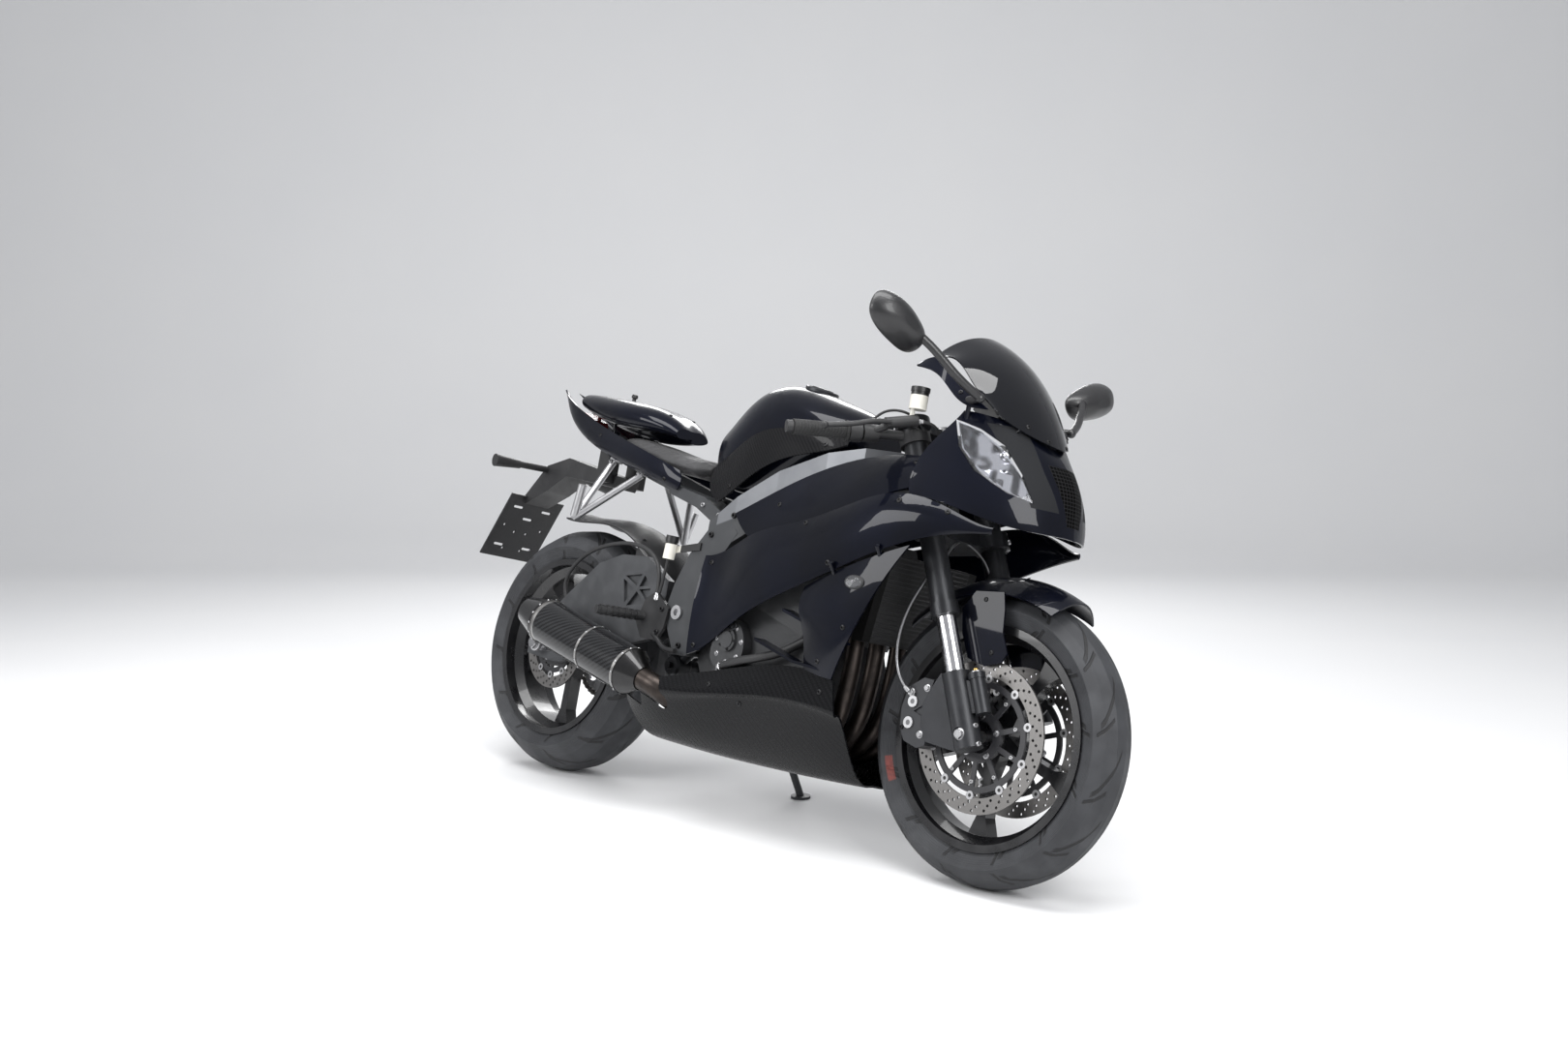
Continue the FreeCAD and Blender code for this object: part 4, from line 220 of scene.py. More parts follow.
def makePaint(name):
    look = paintLook
    paint = Finish(name, **look["base"])
    spot = paint.place()
    flakes = paint.ramp(paint.noise(spot, look["flakeScale"], 1), 0.55, 0.75)
    haze = paint.ramp(paint.noise(spot, look["hazeScale"], 3), 0.35, 0.7)
    dust = paint.ramp(paint.noise(spot, look["dustScale"], 4), 0.5, 0.8)
    share = flakes * look["flakeShare"] + haze * look["hazeShare"]
    paint.set("color", paint.blend(share, look["black"], look["flake"]))
    paint.set("metal", flakes * 0.5 + look["metal"])
    paint.set("rough", dust * look["dustRough"] + look["rough"])
    paint.set("normal", paint.bump(paint.noise(spot, look["peelScale"], 2), look["peelDepth"], 0.5))
    return keep(name, paint)


# Woven panels, the threads along the bike and upright, their crowns painted lighter as a highlight
weaveLooks = {
    "carbonPanel": {"light": (0.0075, 0.0078, 0.0088), "dark": (0.0020, 0.0020, 0.0024), "cell": 0.0042,
                    "coat": 0.32},
    "fineWeave": {"light": (0.013, 0.013, 0.014), "dark": (0.005, 0.005, 0.0055), "cell": 0.0026, "coat": 0.15},
}


def makeWeave(name, look):
    weave = Finish(name, coat=look["coat"], coatRough=0.03, ior=1.42, specular=0.05)
    x, y, z = weave.parts(weave.upright())
    u, v = x / look["cell"], z / look["cell"]
    warp = overUnder(u, v)
    across, along = abs(v % 1 - 0.5) * 2, abs(u % 1 - 0.5) * 2
    crown = 1 - (warp * across + (1 - warp) * along)
    # lighter along each thread's crown, darker at its edges: a painted highlight on the crowns and painted shade
    # between threads; the warp share is the twill pattern
    weave.set("color", weave.blend(crown * 0.55 + warp * 0.3, look["dark"], look["light"]))
    weave.set("rough", warp * 0.12 + 0.24)
    weave.set("normal", weave.bump(crown, 0.0002, 0.6))
    keep(name, weave)


# Plastics and cast parts: grain is the depth of the surface in metres, scale its fineness, worn the paler share
plastics = {
    "blackPlastic": {"color": (0.012, 0.012, 0.013), "rough": 0.5},
    "frameGrey": {"color": (0.030, 0.032, 0.035), "rough": 0.48, "grain": 0.0008, "scale": 700, "metal": 0.2},
    "engineGrey": {"color": (0.035, 0.036, 0.038), "rough": 0.5, "grain": 0.0015, "scale": 500, "metal": 0.4},
    "armGrey": {"color": (0.060, 0.062, 0.066), "rough": 0.42, "grain": 0.0008, "scale": 600, "metal": 0.5},
    "darkAlloy": {"color": (0.022, 0.023, 0.026), "rough": 0.38, "scale": 900, "metal": 0.5},
    "mirrorShell": {"color": (0.010, 0.010, 0.011), "rough": 0.42, "grain": 0.0005, "scale": 1500, "coat": 0.2},
    "footrestBlack": {"color": (0.020, 0.020, 0.021), "rough": 0.42, "grain": 0.0004, "scale": 700, "metal": 0.4,
                      "worn": 0.5},
    "rimBlack": {"color": (0.005, 0.005, 0.006), "rough": 0.34, "grain": 0.0001, "scale": 800, "coat": 0.35,
                 "worn": 0.2},
    "screwBlack": {"color": (0.012, 0.012, 0.013), "rough": 0.36, "grain": 0.0001, "metal": 0.6},
    "hoseRubber": {"color": (0.013, 0.013, 0.014), "rough": 0.6, "scale": 1400},
    "redPlastic": {"color": (0.35, 0.02, 0.015), "rough": 0.4},
}


def makePlastic(name, color, rough, grain=0.0006, scale=1800, worn=0.35, metal=0.0, coat=0.0):
    plastic = Finish(name, metal=metal, coat=coat)
    spot = plastic.place()
    cloud = plastic.ramp(plastic.noise(spot, 22, 4), 0.35, 0.75)
    dust = plastic.ramp(plastic.noise(spot, 260, 3, 0.7), 0.5, 0.85)
    paler = tuple(min(1, c * 1.5 + 0.008) for c in color)
    plastic.set("color", plastic.blend(cloud * worn + dust * worn * 0.5, color, paler))
    plastic.set("rough", cloud * 0.12 + dust * 0.08 + (rough - 0.08))
    plastic.set("normal", plastic.bump(plastic.noise(spot, scale, 2), grain, 0.4))
    return keep(name, plastic)


# Bare metals: scale is the fineness of the grain, worn the share of the darker color
metals = {
    "satinAlloy": {"color": (0.48, 0.48, 0.49), "rough": 0.38},
    "bareSteel": {"color": (0.42, 0.42, 0.43), "rough": 0.3},
    "darkSteel": {"color": (0.10, 0.095, 0.09), "rough": 0.42},
    "chrome": {"color": (0.70, 0.70, 0.72), "rough": 0.16, "worn": 0.1, "scale": 40},
    "pipeSteel": {"color": (0.060, 0.050, 0.045), "rough": 0.42, "worn": 0.6, "dark": (0.020, 0.018, 0.018)},
    "mirrorGlass": {"color": (0.62, 0.64, 0.66), "rough": 0.14, "scale": 60, "worn": 0.1},
    "braidedHose": {"color": (0.28, 0.28, 0.29), "rough": 0.4, "scale": 2400, "worn": 0.4},
    "goldAnodised": {"color": (0.62, 0.42, 0.14), "rough": 0.3},
}


def makeMetal(name, color, rough, scale=600, worn=0.3, dark=None):
    steel = Finish(name, metal=1.0)
    spot = steel.place()
    cloud = steel.ramp(steel.noise(spot, 35, 4), 0.35, 0.75)
    fine = steel.noise(spot, scale, 3, 0.6)
    steel.set("color", steel.blend(cloud * worn + fine * 0.15, color, dark or tuple(c * 0.55 for c in color)))
    steel.set("rough", cloud * 0.14 + fine * 0.1 + (rough - 0.1))
    steel.set("normal", steel.bump(fine, 0.0001, 0.4))
    keep(name, steel)


# Screens and lenses: speck is the scale of what varies the roughness, rib the width of upright ribs
lensLooks = {
    "smokeScreen": {"base": {"color": (0.006, 0.0065, 0.009), "through": 0.35, "ior": 1.42, "coat": 0.45,
                             "coatRough": 0.02, "specular": 0.2}, "speck": 60, "varies": 0.03, "rough": 0.015},
    "clearLens": {"base": {"color": (0.97, 0.98, 1.0), "through": 0.98, "ior": 1.12, "coat": 0.25,
                           "coatRough": 0.02, "specular": 0.2}, "speck": 80, "varies": 0.02, "rough": 0.0},
    "amberLens": {"base": {"color": (0.62, 0.20, 0.02), "coat": 0.6, "coatRough": 0.03},
                  "speck": 80, "varies": 0.1, "rough": 0.18, "rib": 0.005},
    "redLens": {"base": {"color": (0.22, 0.008, 0.008), "rough": 0.2, "through": 0.15, "coat": 1.0,
                         "coatRough": 0.03}, "rib": 0.006},
}


def makeLens(name, look):
    lens = Finish(name, **look["base"])
    if "speck" in look:
        lens.set("rough", lens.noise(lens.place(), look["speck"], 3) * look["varies"] + look["rough"])
    if "rib" in look:
        x, y, z = lens.parts(lens.upright())
        lens.set("normal", lens.bump(zigzag(y, look["rib"]), 0.0008, 0.5))
    keep(name, lens)


# Fluid cups: pale, with black caps and stays, which are told by their height and place
cupLook = {"white": (0.75, 0.73, 0.66), "black": (0.012, 0.012, 0.013), "rough": 0.38, "through": 0.1,
           "frontCap": 0.978, "rearBelow": 0.7, "rearCap": 0.606, "rearStay": 0.482}


def makeCup():
    look = cupLook
    cup = Finish("cupWhite", color=look["white"], rough=look["rough"], through=look["through"])
    x, y, z = cup.parts(cup.upright())
    rear = (z < look["rearBelow"]) * cup.most(z > look["rearCap"], x > look["rearStay"])
    cup.set("color", cup.blend(cup.most(z > look["frontCap"], rear), look["white"], look["black"]))
    keep("cupWhite", cup)


# Seat vinyl: a pitted grain, and glossier patches that are also painted paler as a painted sheen
vinylLook = {"dark": (0.014, 0.014, 0.015), "light": (0.030, 0.030, 0.033), "grain": 620, "shadedPit": 0.12,
             "depth": 0.00025, "glossAndPaintedSheen": 14, "rough": 0.62, "sheen": 0.15}


def makeVinyl():
    look = vinylLook
    vinyl = Finish("seatVinyl", sheen=look["sheen"], sheenRough=0.5)
    spot = vinyl.place()
    cells = vinyl.node("ShaderNodeTexVoronoi", {"feature": "DISTANCE_TO_EDGE"},
                       {"Vector": spot, "Scale": look["grain"]})
    pits = vinyl.ramp(cells, 0.0, look["shadedPit"])
    glossAndPaintedSheen = vinyl.ramp(vinyl.noise(spot, look["glossAndPaintedSheen"], 3), 0.4, 0.7)
    # glossier patches lighten the colour: a painted sheen; the lower roughness there is real
    vinyl.set("color", vinyl.blend(glossAndPaintedSheen * 0.5 + pits * 0.2, look["dark"], look["light"]))
    vinyl.set("rough", look["rough"] - glossAndPaintedSheen * 0.12)
    vinyl.set("normal", vinyl.bump(pits, look["depth"], 0.6))
    keep("seatVinyl", vinyl)


# Frame: silver spars above a sloping line and ahead of the pivot, dark plates behind
frameLook = {
    "silver": (0.15, 0.155, 0.165), "silverWorn": (0.10, 0.105, 0.115), "grey": (0.030, 0.032, 0.035),
    "greyWorn": (0.06, 0.062, 0.066), "slope": 0.36, "line": (0.452, 0.456), "ahead": 0.585, "rough": 0.50,
}


def makeSpars():
    look = frameLook
    spars = Finish("sparGrey")
    x, y, z = spars.parts(spars.upright())
    light = spars.ramp(z - x * look["slope"], *look["line"]) * (x > look["ahead"])
    grain = spars.noise(spars.place(), 900, 3)
    cloud = spars.ramp(spars.noise(spars.place(), 20, 4), 0.4, 0.75)
    grey = spars.blend(cloud * 0.3, look["grey"], look["greyWorn"])
    silver = spars.blend(cloud * 0.35, look["silver"], look["silverWorn"])
    spars.set("color", spars.blend(light, grey, silver))
    spars.set("metal", light * 0.55 + 0.15)
    spars.set("rough", look["rough"] - light * 0.12 + grain * 0.06)
    spars.set("normal", spars.bump(grain, 0.0001, 0.4))
    keep("sparGrey", spars)


# Tyres: curved grooves over a worn crown, the grooves painted near black partly as shade in them, rings and fine ribs
# on the walls, a faded red patch on the front one
tyreLooks = {
    "frontTyre": {"centre": stance["frontAxle"], "half": 0.060, "radius": 0.300, "count": 13, "slant": 1.15,
                  "patch": True},
    "rearTyre": {"centre": stance["rearAxle"], "half": 0.090, "radius": 0.315, "count": 12, "slant": 1.35,
                 "patch": False},
}
treadLook = {  # spans are shares of the way from the crown to the edge
    "wide": (0.035, 0.055), "wideFrom": (0.16, 0.20), "wideTo": (0.80, 0.86),
    "fine": (0.02, 0.04), "fineFrom": (0.45, 0.50), "fineTo": (0.90, 0.94), "fineSlant": 0.55, "fineLag": 0.55,
    "wallLow": 0.040, "wallTop": 0.030, "ring": 0.0042, "depth": 0.0025, "rough": 0.66,
    # cut is the colour of the grooves: unworn rubber, darkened further as painted shade
    "dark": (0.020, 0.021, 0.024), "worn": (0.040, 0.042, 0.047), "cut": (0.006, 0.006, 0.007),
}
patchLook = {"turn": 2.72, "wide": (0.10, 0.115), "radius": 0.247, "tall": (0.006, 0.009),
             "red": (0.22, 0.045, 0.035)}


def makeTyre(name, look):
    rubber = Finish(name)
    radius, angle, across = rubber.round(look["centre"])
    turn = angle / (2 * math.pi)
    side = abs(across) / look["half"]
    curve = side ** 0.7 * look["slant"]
    offset = (across > 0) * 0.5
    steps = turn * look["count"]
    phase = (steps + curve + offset) % 1
    wide = 1 - rubber.ramp(abs(phase - 0.5), *treadLook["wide"])
    wide = wide * rubber.ramp(side, *treadLook["wideFrom"]) * (1 - rubber.ramp(side, *treadLook["wideTo"]))
    phase = (steps + curve * treadLook["fineSlant"] + offset + treadLook["fineLag"]) % 1
    fine = 1 - rubber.ramp(abs(phase - 0.5), *treadLook["fine"])
    fine = fine * rubber.ramp(side, *treadLook["fineFrom"]) * (1 - rubber.ramp(side, *treadLook["fineTo"]))
    cut = rubber.most(wide, fine)
    wall = 1 - rubber.ramp(radius, look["radius"] - treadLook["wallLow"], look["radius"] - treadLook["wallTop"])
    rings = rubber.ramp(zigzag(radius, treadLook["ring"]), 0.25, 0.5) * wall * 0.35
    speck = rubber.noise(rubber.place(), 500, 4, 0.7)
    cloud = rubber.ramp(rubber.noise(rubber.place(), 18, 4), 0.35, 0.7)
    color = rubber.blend(cloud * 0.5 + speck * 0.3, treadLook["dark"], treadLook["worn"])
    # grooves painted near black: partly unworn rubber, partly painted shade in grooves that are only bumped
    color = rubber.blend(cut, color, treadLook["cut"])
    if look["patch"]:
        patch = 1 - rubber.ramp(abs(angle + patchLook["turn"]), *patchLook["wide"])
        patch = patch * (1 - rubber.ramp(abs(radius - patchLook["radius"]), *patchLook["tall"]))
        faded = rubber.ramp(rubber.noise(rubber.place(), 160, 4, 0.8), 0.47, 0.52)
        color = rubber.blend(patch * (faded * 0.25 + 0.6) * (across < 0), color, patchLook["red"])
    rubber.set("color", color)
    rubber.set("rough", treadLook["rough"] - cloud * 0.1 + speck * 0.06)
    rubber.set("normal", rubber.bump(speck * 0.05 + rings * 0.5 - cut, treadLook["depth"], 0.9))
    keep(name, rubber)


# Brake discs: drilled bright band, silver bobbins with their hollow painted dark as shade, dark carrier
discLooks = {
    "frontDisc": {"centre": stance["frontAxle"], "outer": 0.155, "band": 0.033, "bobbins": 10, "holes": 30},
    "rearDisc": {"centre": stance["rearAxle"], "outer": 0.110, "band": 0.030, "bobbins": 10, "holes": 22},
}
steelLook = {
    "rows": 3, "firstRow": 0.24, "rowStep": 0.26, "hole": (0.0027, 0.0032), "bobbinIn": 0.0045,
    "bobbin": (0.0085, 0.0092), "shadedPit": (0.0035, 0.0042), "edge": 0.0006,
    "bright": (0.22, 0.213, 0.207), "swirl": (0.12, 0.117, 0.114), "carrier": (0.014, 0.014, 0.016),
    "carrierWorn": (0.05, 0.05, 0.055), "silver": (0.42, 0.42, 0.43), "dark": (0.05, 0.05, 0.05),
}


def makeDisc(name, look):
    steel = Finish(name)
    radius, angle, across = steel.round(look["centre"])
    turn = angle / (2 * math.pi)
    inner = look["outer"] - look["band"]
    band = steel.ramp(radius, inner - steelLook["edge"], inner + steelLook["edge"])

    def fromSpots(count, at, shift):  # distance to the nearest of the spots in one ring
        phase = ((turn * count + shift) % 1 - 0.5) * (2 * math.pi * at / count)
        return steel.reach(phase, radius - at)

    holes = 0
    for row in range(steelLook["rows"]):
        at = inner + look["band"] * (steelLook["firstRow"] + steelLook["rowStep"] * row)
        hole = 1 - steel.ramp(fromSpots(look["holes"], at, row / 3), *steelLook["hole"])
        holes = steel.most(hole, holes)
    away = fromSpots(look["bobbins"], inner - steelLook["bobbinIn"], 0.5 + look["bobbins"] * 0.25)
    bobbin = 1 - steel.ramp(away, *steelLook["bobbin"])
    shadedPit = 1 - steel.ramp(away, *steelLook["shadedPit"])
    swirl = steel.noise(steel.node("ShaderNodeCombineXYZ", {}, {0: radius * 900, 1: turn * 6, 2: 0}), 1.0, 2)
    bright = steel.blend(swirl * 0.6, steelLook["bright"], steelLook["swirl"])
    carrier = steel.blend(steel.noise(steel.place(), 300, 3) * 0.4, steelLook["carrier"], steelLook["carrierWorn"])
    color = steel.blend(bobbin, steel.blend(band, carrier, bright), steelLook["silver"])
    # the hollow in each bobbin is painted dark: painted shade
    steel.set("color", steel.blend(shadedPit, color, steelLook["dark"]))
    steel.set("metal", steel.most(band, bobbin) * 0.95)
    steel.set("rough", 0.34 + swirl * 0.12)
    steel.set("alpha", 1 - holes * band)
    keep(name, steel)


# Silencer: woven sleeve between metal bands, dark end cap and cone; spans are shares of its length
silencerLook = {
    "front": (0.470, -0.175, 0.281), "rear": (0.030, -0.205, 0.392), "radius": 0.057, "cell": 0.0036,
    "sleeve": (0.125, 0.80), "frontBand": (0.105, 0.125), "middleBand": (0.410, 0.424), "rearBand": (0.80, 0.822),
    "weave": (0.005, 0.005, 0.0055), "thread": (0.024, 0.025, 0.027), "band": (0.24, 0.235, 0.23),
    "cap": (0.014, 0.014, 0.015), "capWorn": (0.04, 0.038, 0.038), "rough": 0.36,
}


def makeSilencer():
    look = silencerLook
    sleeve = Finish("silencerSleeve", coat=0.7, coatRough=0.04, ior=1.42, specular=0.1)
    start = onBike(*look["front"])
    run = onBike(*look["rear"]) - start
    x, y, z = sleeve.parts(sleeve.moved(start, run.to_track_quat("X", "Z").to_euler()))
    share = x / run.length
    middle = between(share, *look["middleBand"])
    band = between(share, *look["frontBand"]) + between(share, *look["rearBand"]) + middle
    woven = between(share, *look["sleeve"]) * (1 - middle)
    around = sleeve.math("ARCTAN2", z, y) * (look["radius"] / look["cell"])
    threads = sleeve.blend(overUnder(x / look["cell"], around) * 0.7, look["weave"], look["thread"])
    cap = sleeve.blend(sleeve.noise(sleeve.place(), 60, 4) * 0.5, look["cap"], look["capWorn"])
    sleeve.set("color", sleeve.blend(woven, sleeve.blend(band, cap, look["band"]), threads))
    sleeve.set("metal", 0.9 - woven * 0.9)
    sleeve.set("rough", look["rough"] - woven * 0.12)
    keep("silencerSleeve", sleeve)


# Calipers: dark body, bright caps over the pistons, the middle of each cap painted grey as shade in its pit
caliperLook = {
    "capOut": 0.1075, "spots": [(1.232, 0.346), (1.229, 0.302)], "radius": 0.0126, "shadedPit": 0.0055,
    "dark": (0.020, 0.021, 0.024), "worn": (0.045, 0.046, 0.050), "bright": (0.50, 0.50, 0.51),
    "pitShadeGrey": (0.16, 0.16, 0.165), "rough": 0.42,
}


def makeCaliper():
    look = caliperLook
    alloy = Finish("caliperGrey")
    x, y, z = alloy.parts(alloy.upright())
    near = alloy.least(*[alloy.reach(x - spotX, z - spotZ) for spotX, spotZ in look["spots"]])
    outside = abs(y) > look["capOut"]
    cap = (near < look["radius"]) * outside
    shadedPit = (near < look["shadedPit"]) * outside
    speck = alloy.noise(alloy.place(), 500, 3)
    body = alloy.blend(speck * 0.5, look["dark"], look["worn"])
    # the pit in each cap is painted grey: painted shade
    alloy.set("color", alloy.blend(shadedPit, alloy.blend(cap, body, look["bright"]), look["pitShadeGrey"]))
    alloy.set("metal", cap * 0.6 + 0.3)
    alloy.set("rough", look["rough"] - cap * 0.10 + speck * 0.05)
    alloy.set("normal", alloy.bump(speck, 0.0002, 0.4))
    keep("caliperGrey", alloy)


# Radiator: flat tubes with folded fins between them, the gaps between the fins painted near black as shade
radiatorLook = {"tube": 0.0095, "fin": 0.0026, "half": 0.130, "flat": 0.72, "depth": 0.0015,
                "dark": (0.004, 0.004, 0.004), "light": (0.035, 0.035, 0.037), "rough": 0.55}


def makeRadiator():
    look = radiatorLook
    core = Finish("radiatorCore", metal=0.5)
    x, y, z = core.parts(core.upright())
    tube = zigzag(z, look["tube"]) * 2 > look["flat"]
    height = core.most(tube, zigzag(y, look["fin"]) * 2 * 0.6) * (abs(y) < look["half"])
    # lighter on the tubes and fin crests, near black in the gaps: painted shade between the fins
    core.set("color", core.blend(height, look["dark"], look["light"]))
    core.set("rough", look["rough"] - height * 0.1)
    core.set("normal", core.bump(height, look["depth"], 0.8))
    keep("radiatorCore", core)


# Nose: lacquer with a dark air intake between the lamps, its gaps between the grille bars painted near black as the
# shade inside, and a dull panel between each lamp and the nose
intakeLook = {"low": 0.742, "top": 0.862, "half": 0.046, "widens": 0.030, "cell": 0.0075, "bar": (0.36, 0.42),
              "ahead": 1.40, "dark": (0.001, 0.001, 0.001), "grille": (0.018, 0.018, 0.019)}
dullLook = {"low": 0.766, "top": 0.930, "ahead": 1.29, "inner": (0.015, 0.0165), "outer": (-0.041, -0.0395),
            "outerSlope": 0.18, "dark": (0.016, 0.0165, 0.018), "light": (0.034, 0.035, 0.038)}


def makeNose():
    nose = makePaint("nosePaint")
    paint = Wire(nose, nose.shader.inputs["Base Color"].links[0].from_socket)
    x, y, z = nose.parts(nose.upright())
    low, top, widens = intakeLook["low"], intakeLook["top"], intakeLook["widens"]
    side = abs(y)
    fromEdge = side - (nose.ramp(z, low - 0.04, top) * widens + (intakeLook["half"] - widens))
    mouth = (1 - nose.ramp(fromEdge, -0.001, 0.001)) * nose.ramp(z, low, low + 0.002)
    mouth = mouth * (1 - nose.ramp(z, top, top + 0.002)) * (x > intakeLook["ahead"])
    bars = nose.ramp(nose.most(zigzag(y, intakeLook["cell"]), zigzag(z, intakeLook["cell"])), *intakeLook["bar"])
    # near black between the grille bars: painted shade inside the intake; the bars are black plastic
    grille = nose.blend(bars, intakeLook["dark"], intakeLook["grille"])
    matte = nose.ramp(fromEdge, *dullLook["inner"])
    matte = matte * (1 - nose.ramp(side - z * dullLook["outerSlope"], *dullLook["outer"]))
    matte = matte * (z > dullLook["low"]) * (z < dullLook["top"]) * (x > dullLook["ahead"])
    grain = nose.noise(nose.place(), 1400, 2)
    panel = nose.blend(grain * 0.5, dullLook["dark"], dullLook["light"])
    rougher = nose.most(mouth, matte)
    nose.set("color", nose.blend(mouth, nose.blend(matte, paint, panel), grille))
    nose.set("rough", rougher * 0.28 + 0.33)
    nose.set("coat", paintLook["base"]["coat"] - rougher * paintLook["base"]["coat"])
    nose.set("normal", nose.bump(mouth * (bars * 0.5 - 1) - matte * (1 - grain * 0.1) * 0.3, 0.003, 0.8))


# Lamp bowls: bright, plain above with dark patches as painted reflections, with upright ribs in the lower half whose
# grooves are painted dark as shade
bowlLook = {"rib": 0.0085, "ribsBelow": 0.845, "groove": (0.15, 0.5), "facet": 26, "depth": 0.004,
            "bright": (0.80, 0.80, 0.83), "dark": (0.055, 0.058, 0.068), "rough": 0.10}


def makeBowl():
    look = bowlLook
    bright = Finish("ribbedChrome", metal=1.0)
    x, y, z = bright.parts(bright.upright())
    rib = zigzag(x * 0.8 + abs(y), look["rib"]) * 2
    low = bright.ramp(look["ribsBelow"] - z, 0.0, 0.01)
    facet = bright.noise(bright.place(), look["facet"], 1)
    # dark patches on the plain upper part are painted reflections; the dark rib grooves below are painted shade
    shade = bright.ramp(facet, 0.40, 0.60) * (1 - low) + (1 - bright.ramp(rib, *look["groove"])) * low
    bright.set("color", bright.blend(shade, look["bright"], look["dark"]))
    bright.set("rough", shade * 0.15 + look["rough"])
    bright.set("normal", bright.bump(rib * low + facet * 1.5, look["depth"], 0.9))
    keep("ribbedChrome", bright)


# Grips: rings round the bar
gripLook = {"ring": 0.0062, "groove": (0.3, 0.6), "depth": 0.0012, "rough": 0.78,
            "dark": (0.010, 0.010, 0.010), "worn": (0.026, 0.026, 0.027)}


def makeGripRubber():
    look = gripLook
    rubber = Finish("ribbedRubber")
    x, y, z = rubber.parts(rubber.upright())
    worn = rubber.noise(rubber.place(), 60, 4)
    rubber.set("color", rubber.blend(worn * 0.6, look["dark"], look["worn"]))
    rubber.set("rough", look["rough"] - worn * 0.12)
    rubber.set("normal", rubber.bump(rubber.ramp(zigzag(y, look["ring"]) * 2, *look["groove"]), look["depth"], 0.8))
    keep("ribbedRubber", rubber)


# Plate holder: slots and round holes through the board, as (distance from the middle, height)
boardLook = {
    "base": {"color": (0.011, 0.011, 0.012), "rough": 0.5, "grain": 0.0008, "scale": 900},
    "top": 0.700, "front": -0.285, "slots": [(0.048, 0.668), (0.048, 0.560), (0.0, 0.640)], "slotHalf": 0.013,
    "slotRadius": 0.0032, "holes": [(0.020, 0.600), (0.062, 0.615), (0.030, 0.552)], "holeRadius": 0.0036,
}


def makeBoard():
    look = boardLook
    board = makePlastic("plateBoard", **look["base"])
    x, y, z = board.parts(board.upright())
    side = abs(y)
    cutOut = 0
    for slotY, slotZ in look["slots"]:
        along = board.most(abs(side - slotY) - look["slotHalf"], 0)
        cutOut = board.most(board.reach(along, z - slotZ) < look["slotRadius"], cutOut)
    for holeY, holeZ in look["holes"]:
        cutOut = board.most(board.reach(side - holeY, z - holeZ) < look["holeRadius"], cutOut)
    board.set("alpha", 1 - cutOut * (x < look["front"]) * (z < look["top"]))


makePaint("blackLacquer")
for maker, looks in ((makeWeave, weaveLooks), (makeLens, lensLooks), (makeTyre, tyreLooks), (makeDisc, discLooks)):
    for finishName, finishLook in looks.items():
        maker(finishName, finishLook)
for maker, looks in ((makePlastic, plastics), (makeMetal, metals)):
    for finishName, finishLook in looks.items():
        maker(finishName, **finishLook)
for maker in (makeCup, makeVinyl, makeSpars, makeSilencer, makeCaliper, makeRadiator, makeNose, makeBowl,
              makeGripRubber, makeBoard):
    maker()
print("finishes made,", len(finishes))

# What each node wears
wear = {
    "front_tyre": "frontTyre", "rear_tyre": "rearTyre", "front_rim": "rimBlack", "rear_rim": "rimBlack",
    "front_discs": "frontDisc", "rear_disc": "rearDisc", "rear_sprocket": "bareSteel", "drive_chain": "darkSteel",
    "front_axle": "bareSteel", "fork_sliders": "chrome", "fork_lugs": "darkAlloy", "fork_tubes": "darkAlloy",
    "lower_yoke": "darkAlloy", "top_yoke": "darkAlloy", "handlebars": "blackPlastic", "grips": "ribbedRubber",
    "bar_controls": "blackPlastic", "front_reservoir": "cupWhite", "front_fender": "blackLacquer",
    "front_calipers": "caliperGrey", "main_frame": "sparGrey", "pivot_shaft": "satinAlloy", "subframe": "frameGrey",
    "engine_block": "engineGrey", "engine_covers": "engineGrey", "exhaust_headers": "pipeSteel",
    "silencer": "silencerSleeve", "radiator": "radiatorCore", "fuel_tank": "blackLacquer",
    "tank_covers": "fineWeave", "rider_seat": "seatVinyl", "seat_cowl": "blackLacquer",
    "tail_fairing": "blackLacquer", "tail_light": "redLens", "plate_holder": "plateBoard",
    "pillion_hangers": "satinAlloy", "rider_footrests": "footrestBlack", "rear_reservoir": "cupWhite",
    "swingarm": "armGrey", "rear_axle": "bareSteel", "rear_caliper": "darkAlloy", "rear_hugger": "blackPlastic",
    "rear_shock": "frameGrey", "upper_cowl": "nosePaint", "side_panels": "blackLacquer",
    "mid_fairings": "blackLacquer", "belly_pan": "carbonPanel", "windscreen": "smokeScreen",
    "cowl_wings": "blackLacquer", "headlights": "clearLens", "lamp_bowls": "ribbedChrome", "mirrors": "mirrorShell",
    "instrument_cluster": "blackPlastic", "side_stand": "frameGrey",
}


def dress(piece, name, angle=35):
    piece.data.materials.clear()
    piece.data.materials.append(finishes[name])
    for face in piece.data.polygons:
        face.use_smooth = True
        face.material_index = 0
    piece.data.set_sharp_from_angle(angle=math.radians(angle))


for nodeName, node in nodes.items():
    dress(node, wear.get(nodeName, "blackPlastic"))
print("nodes dressed")

bothSides = (-1, 1)
surfaces = {}


# First place on a node that is met from a start on the bike, along a heading
def landOn(nodeName, start, heading):
    if nodeName not in surfaces:
        mesh = nodes[nodeName].data
        surfaces[nodeName] = BVHTree.FromPolygons([v.co for v in mesh.vertices],
                                                  [p.vertices for p in mesh.polygons])
    way = wayOn(*heading)
    spot, normal, face, gap = surfaces[nodeName].ray_cast(onBike(*start), way)
    if spot is None:
        print("no place on", nodeName, "from", start)
        return None, None
    return spot, -normal if normal.dot(way) > 0 else normal


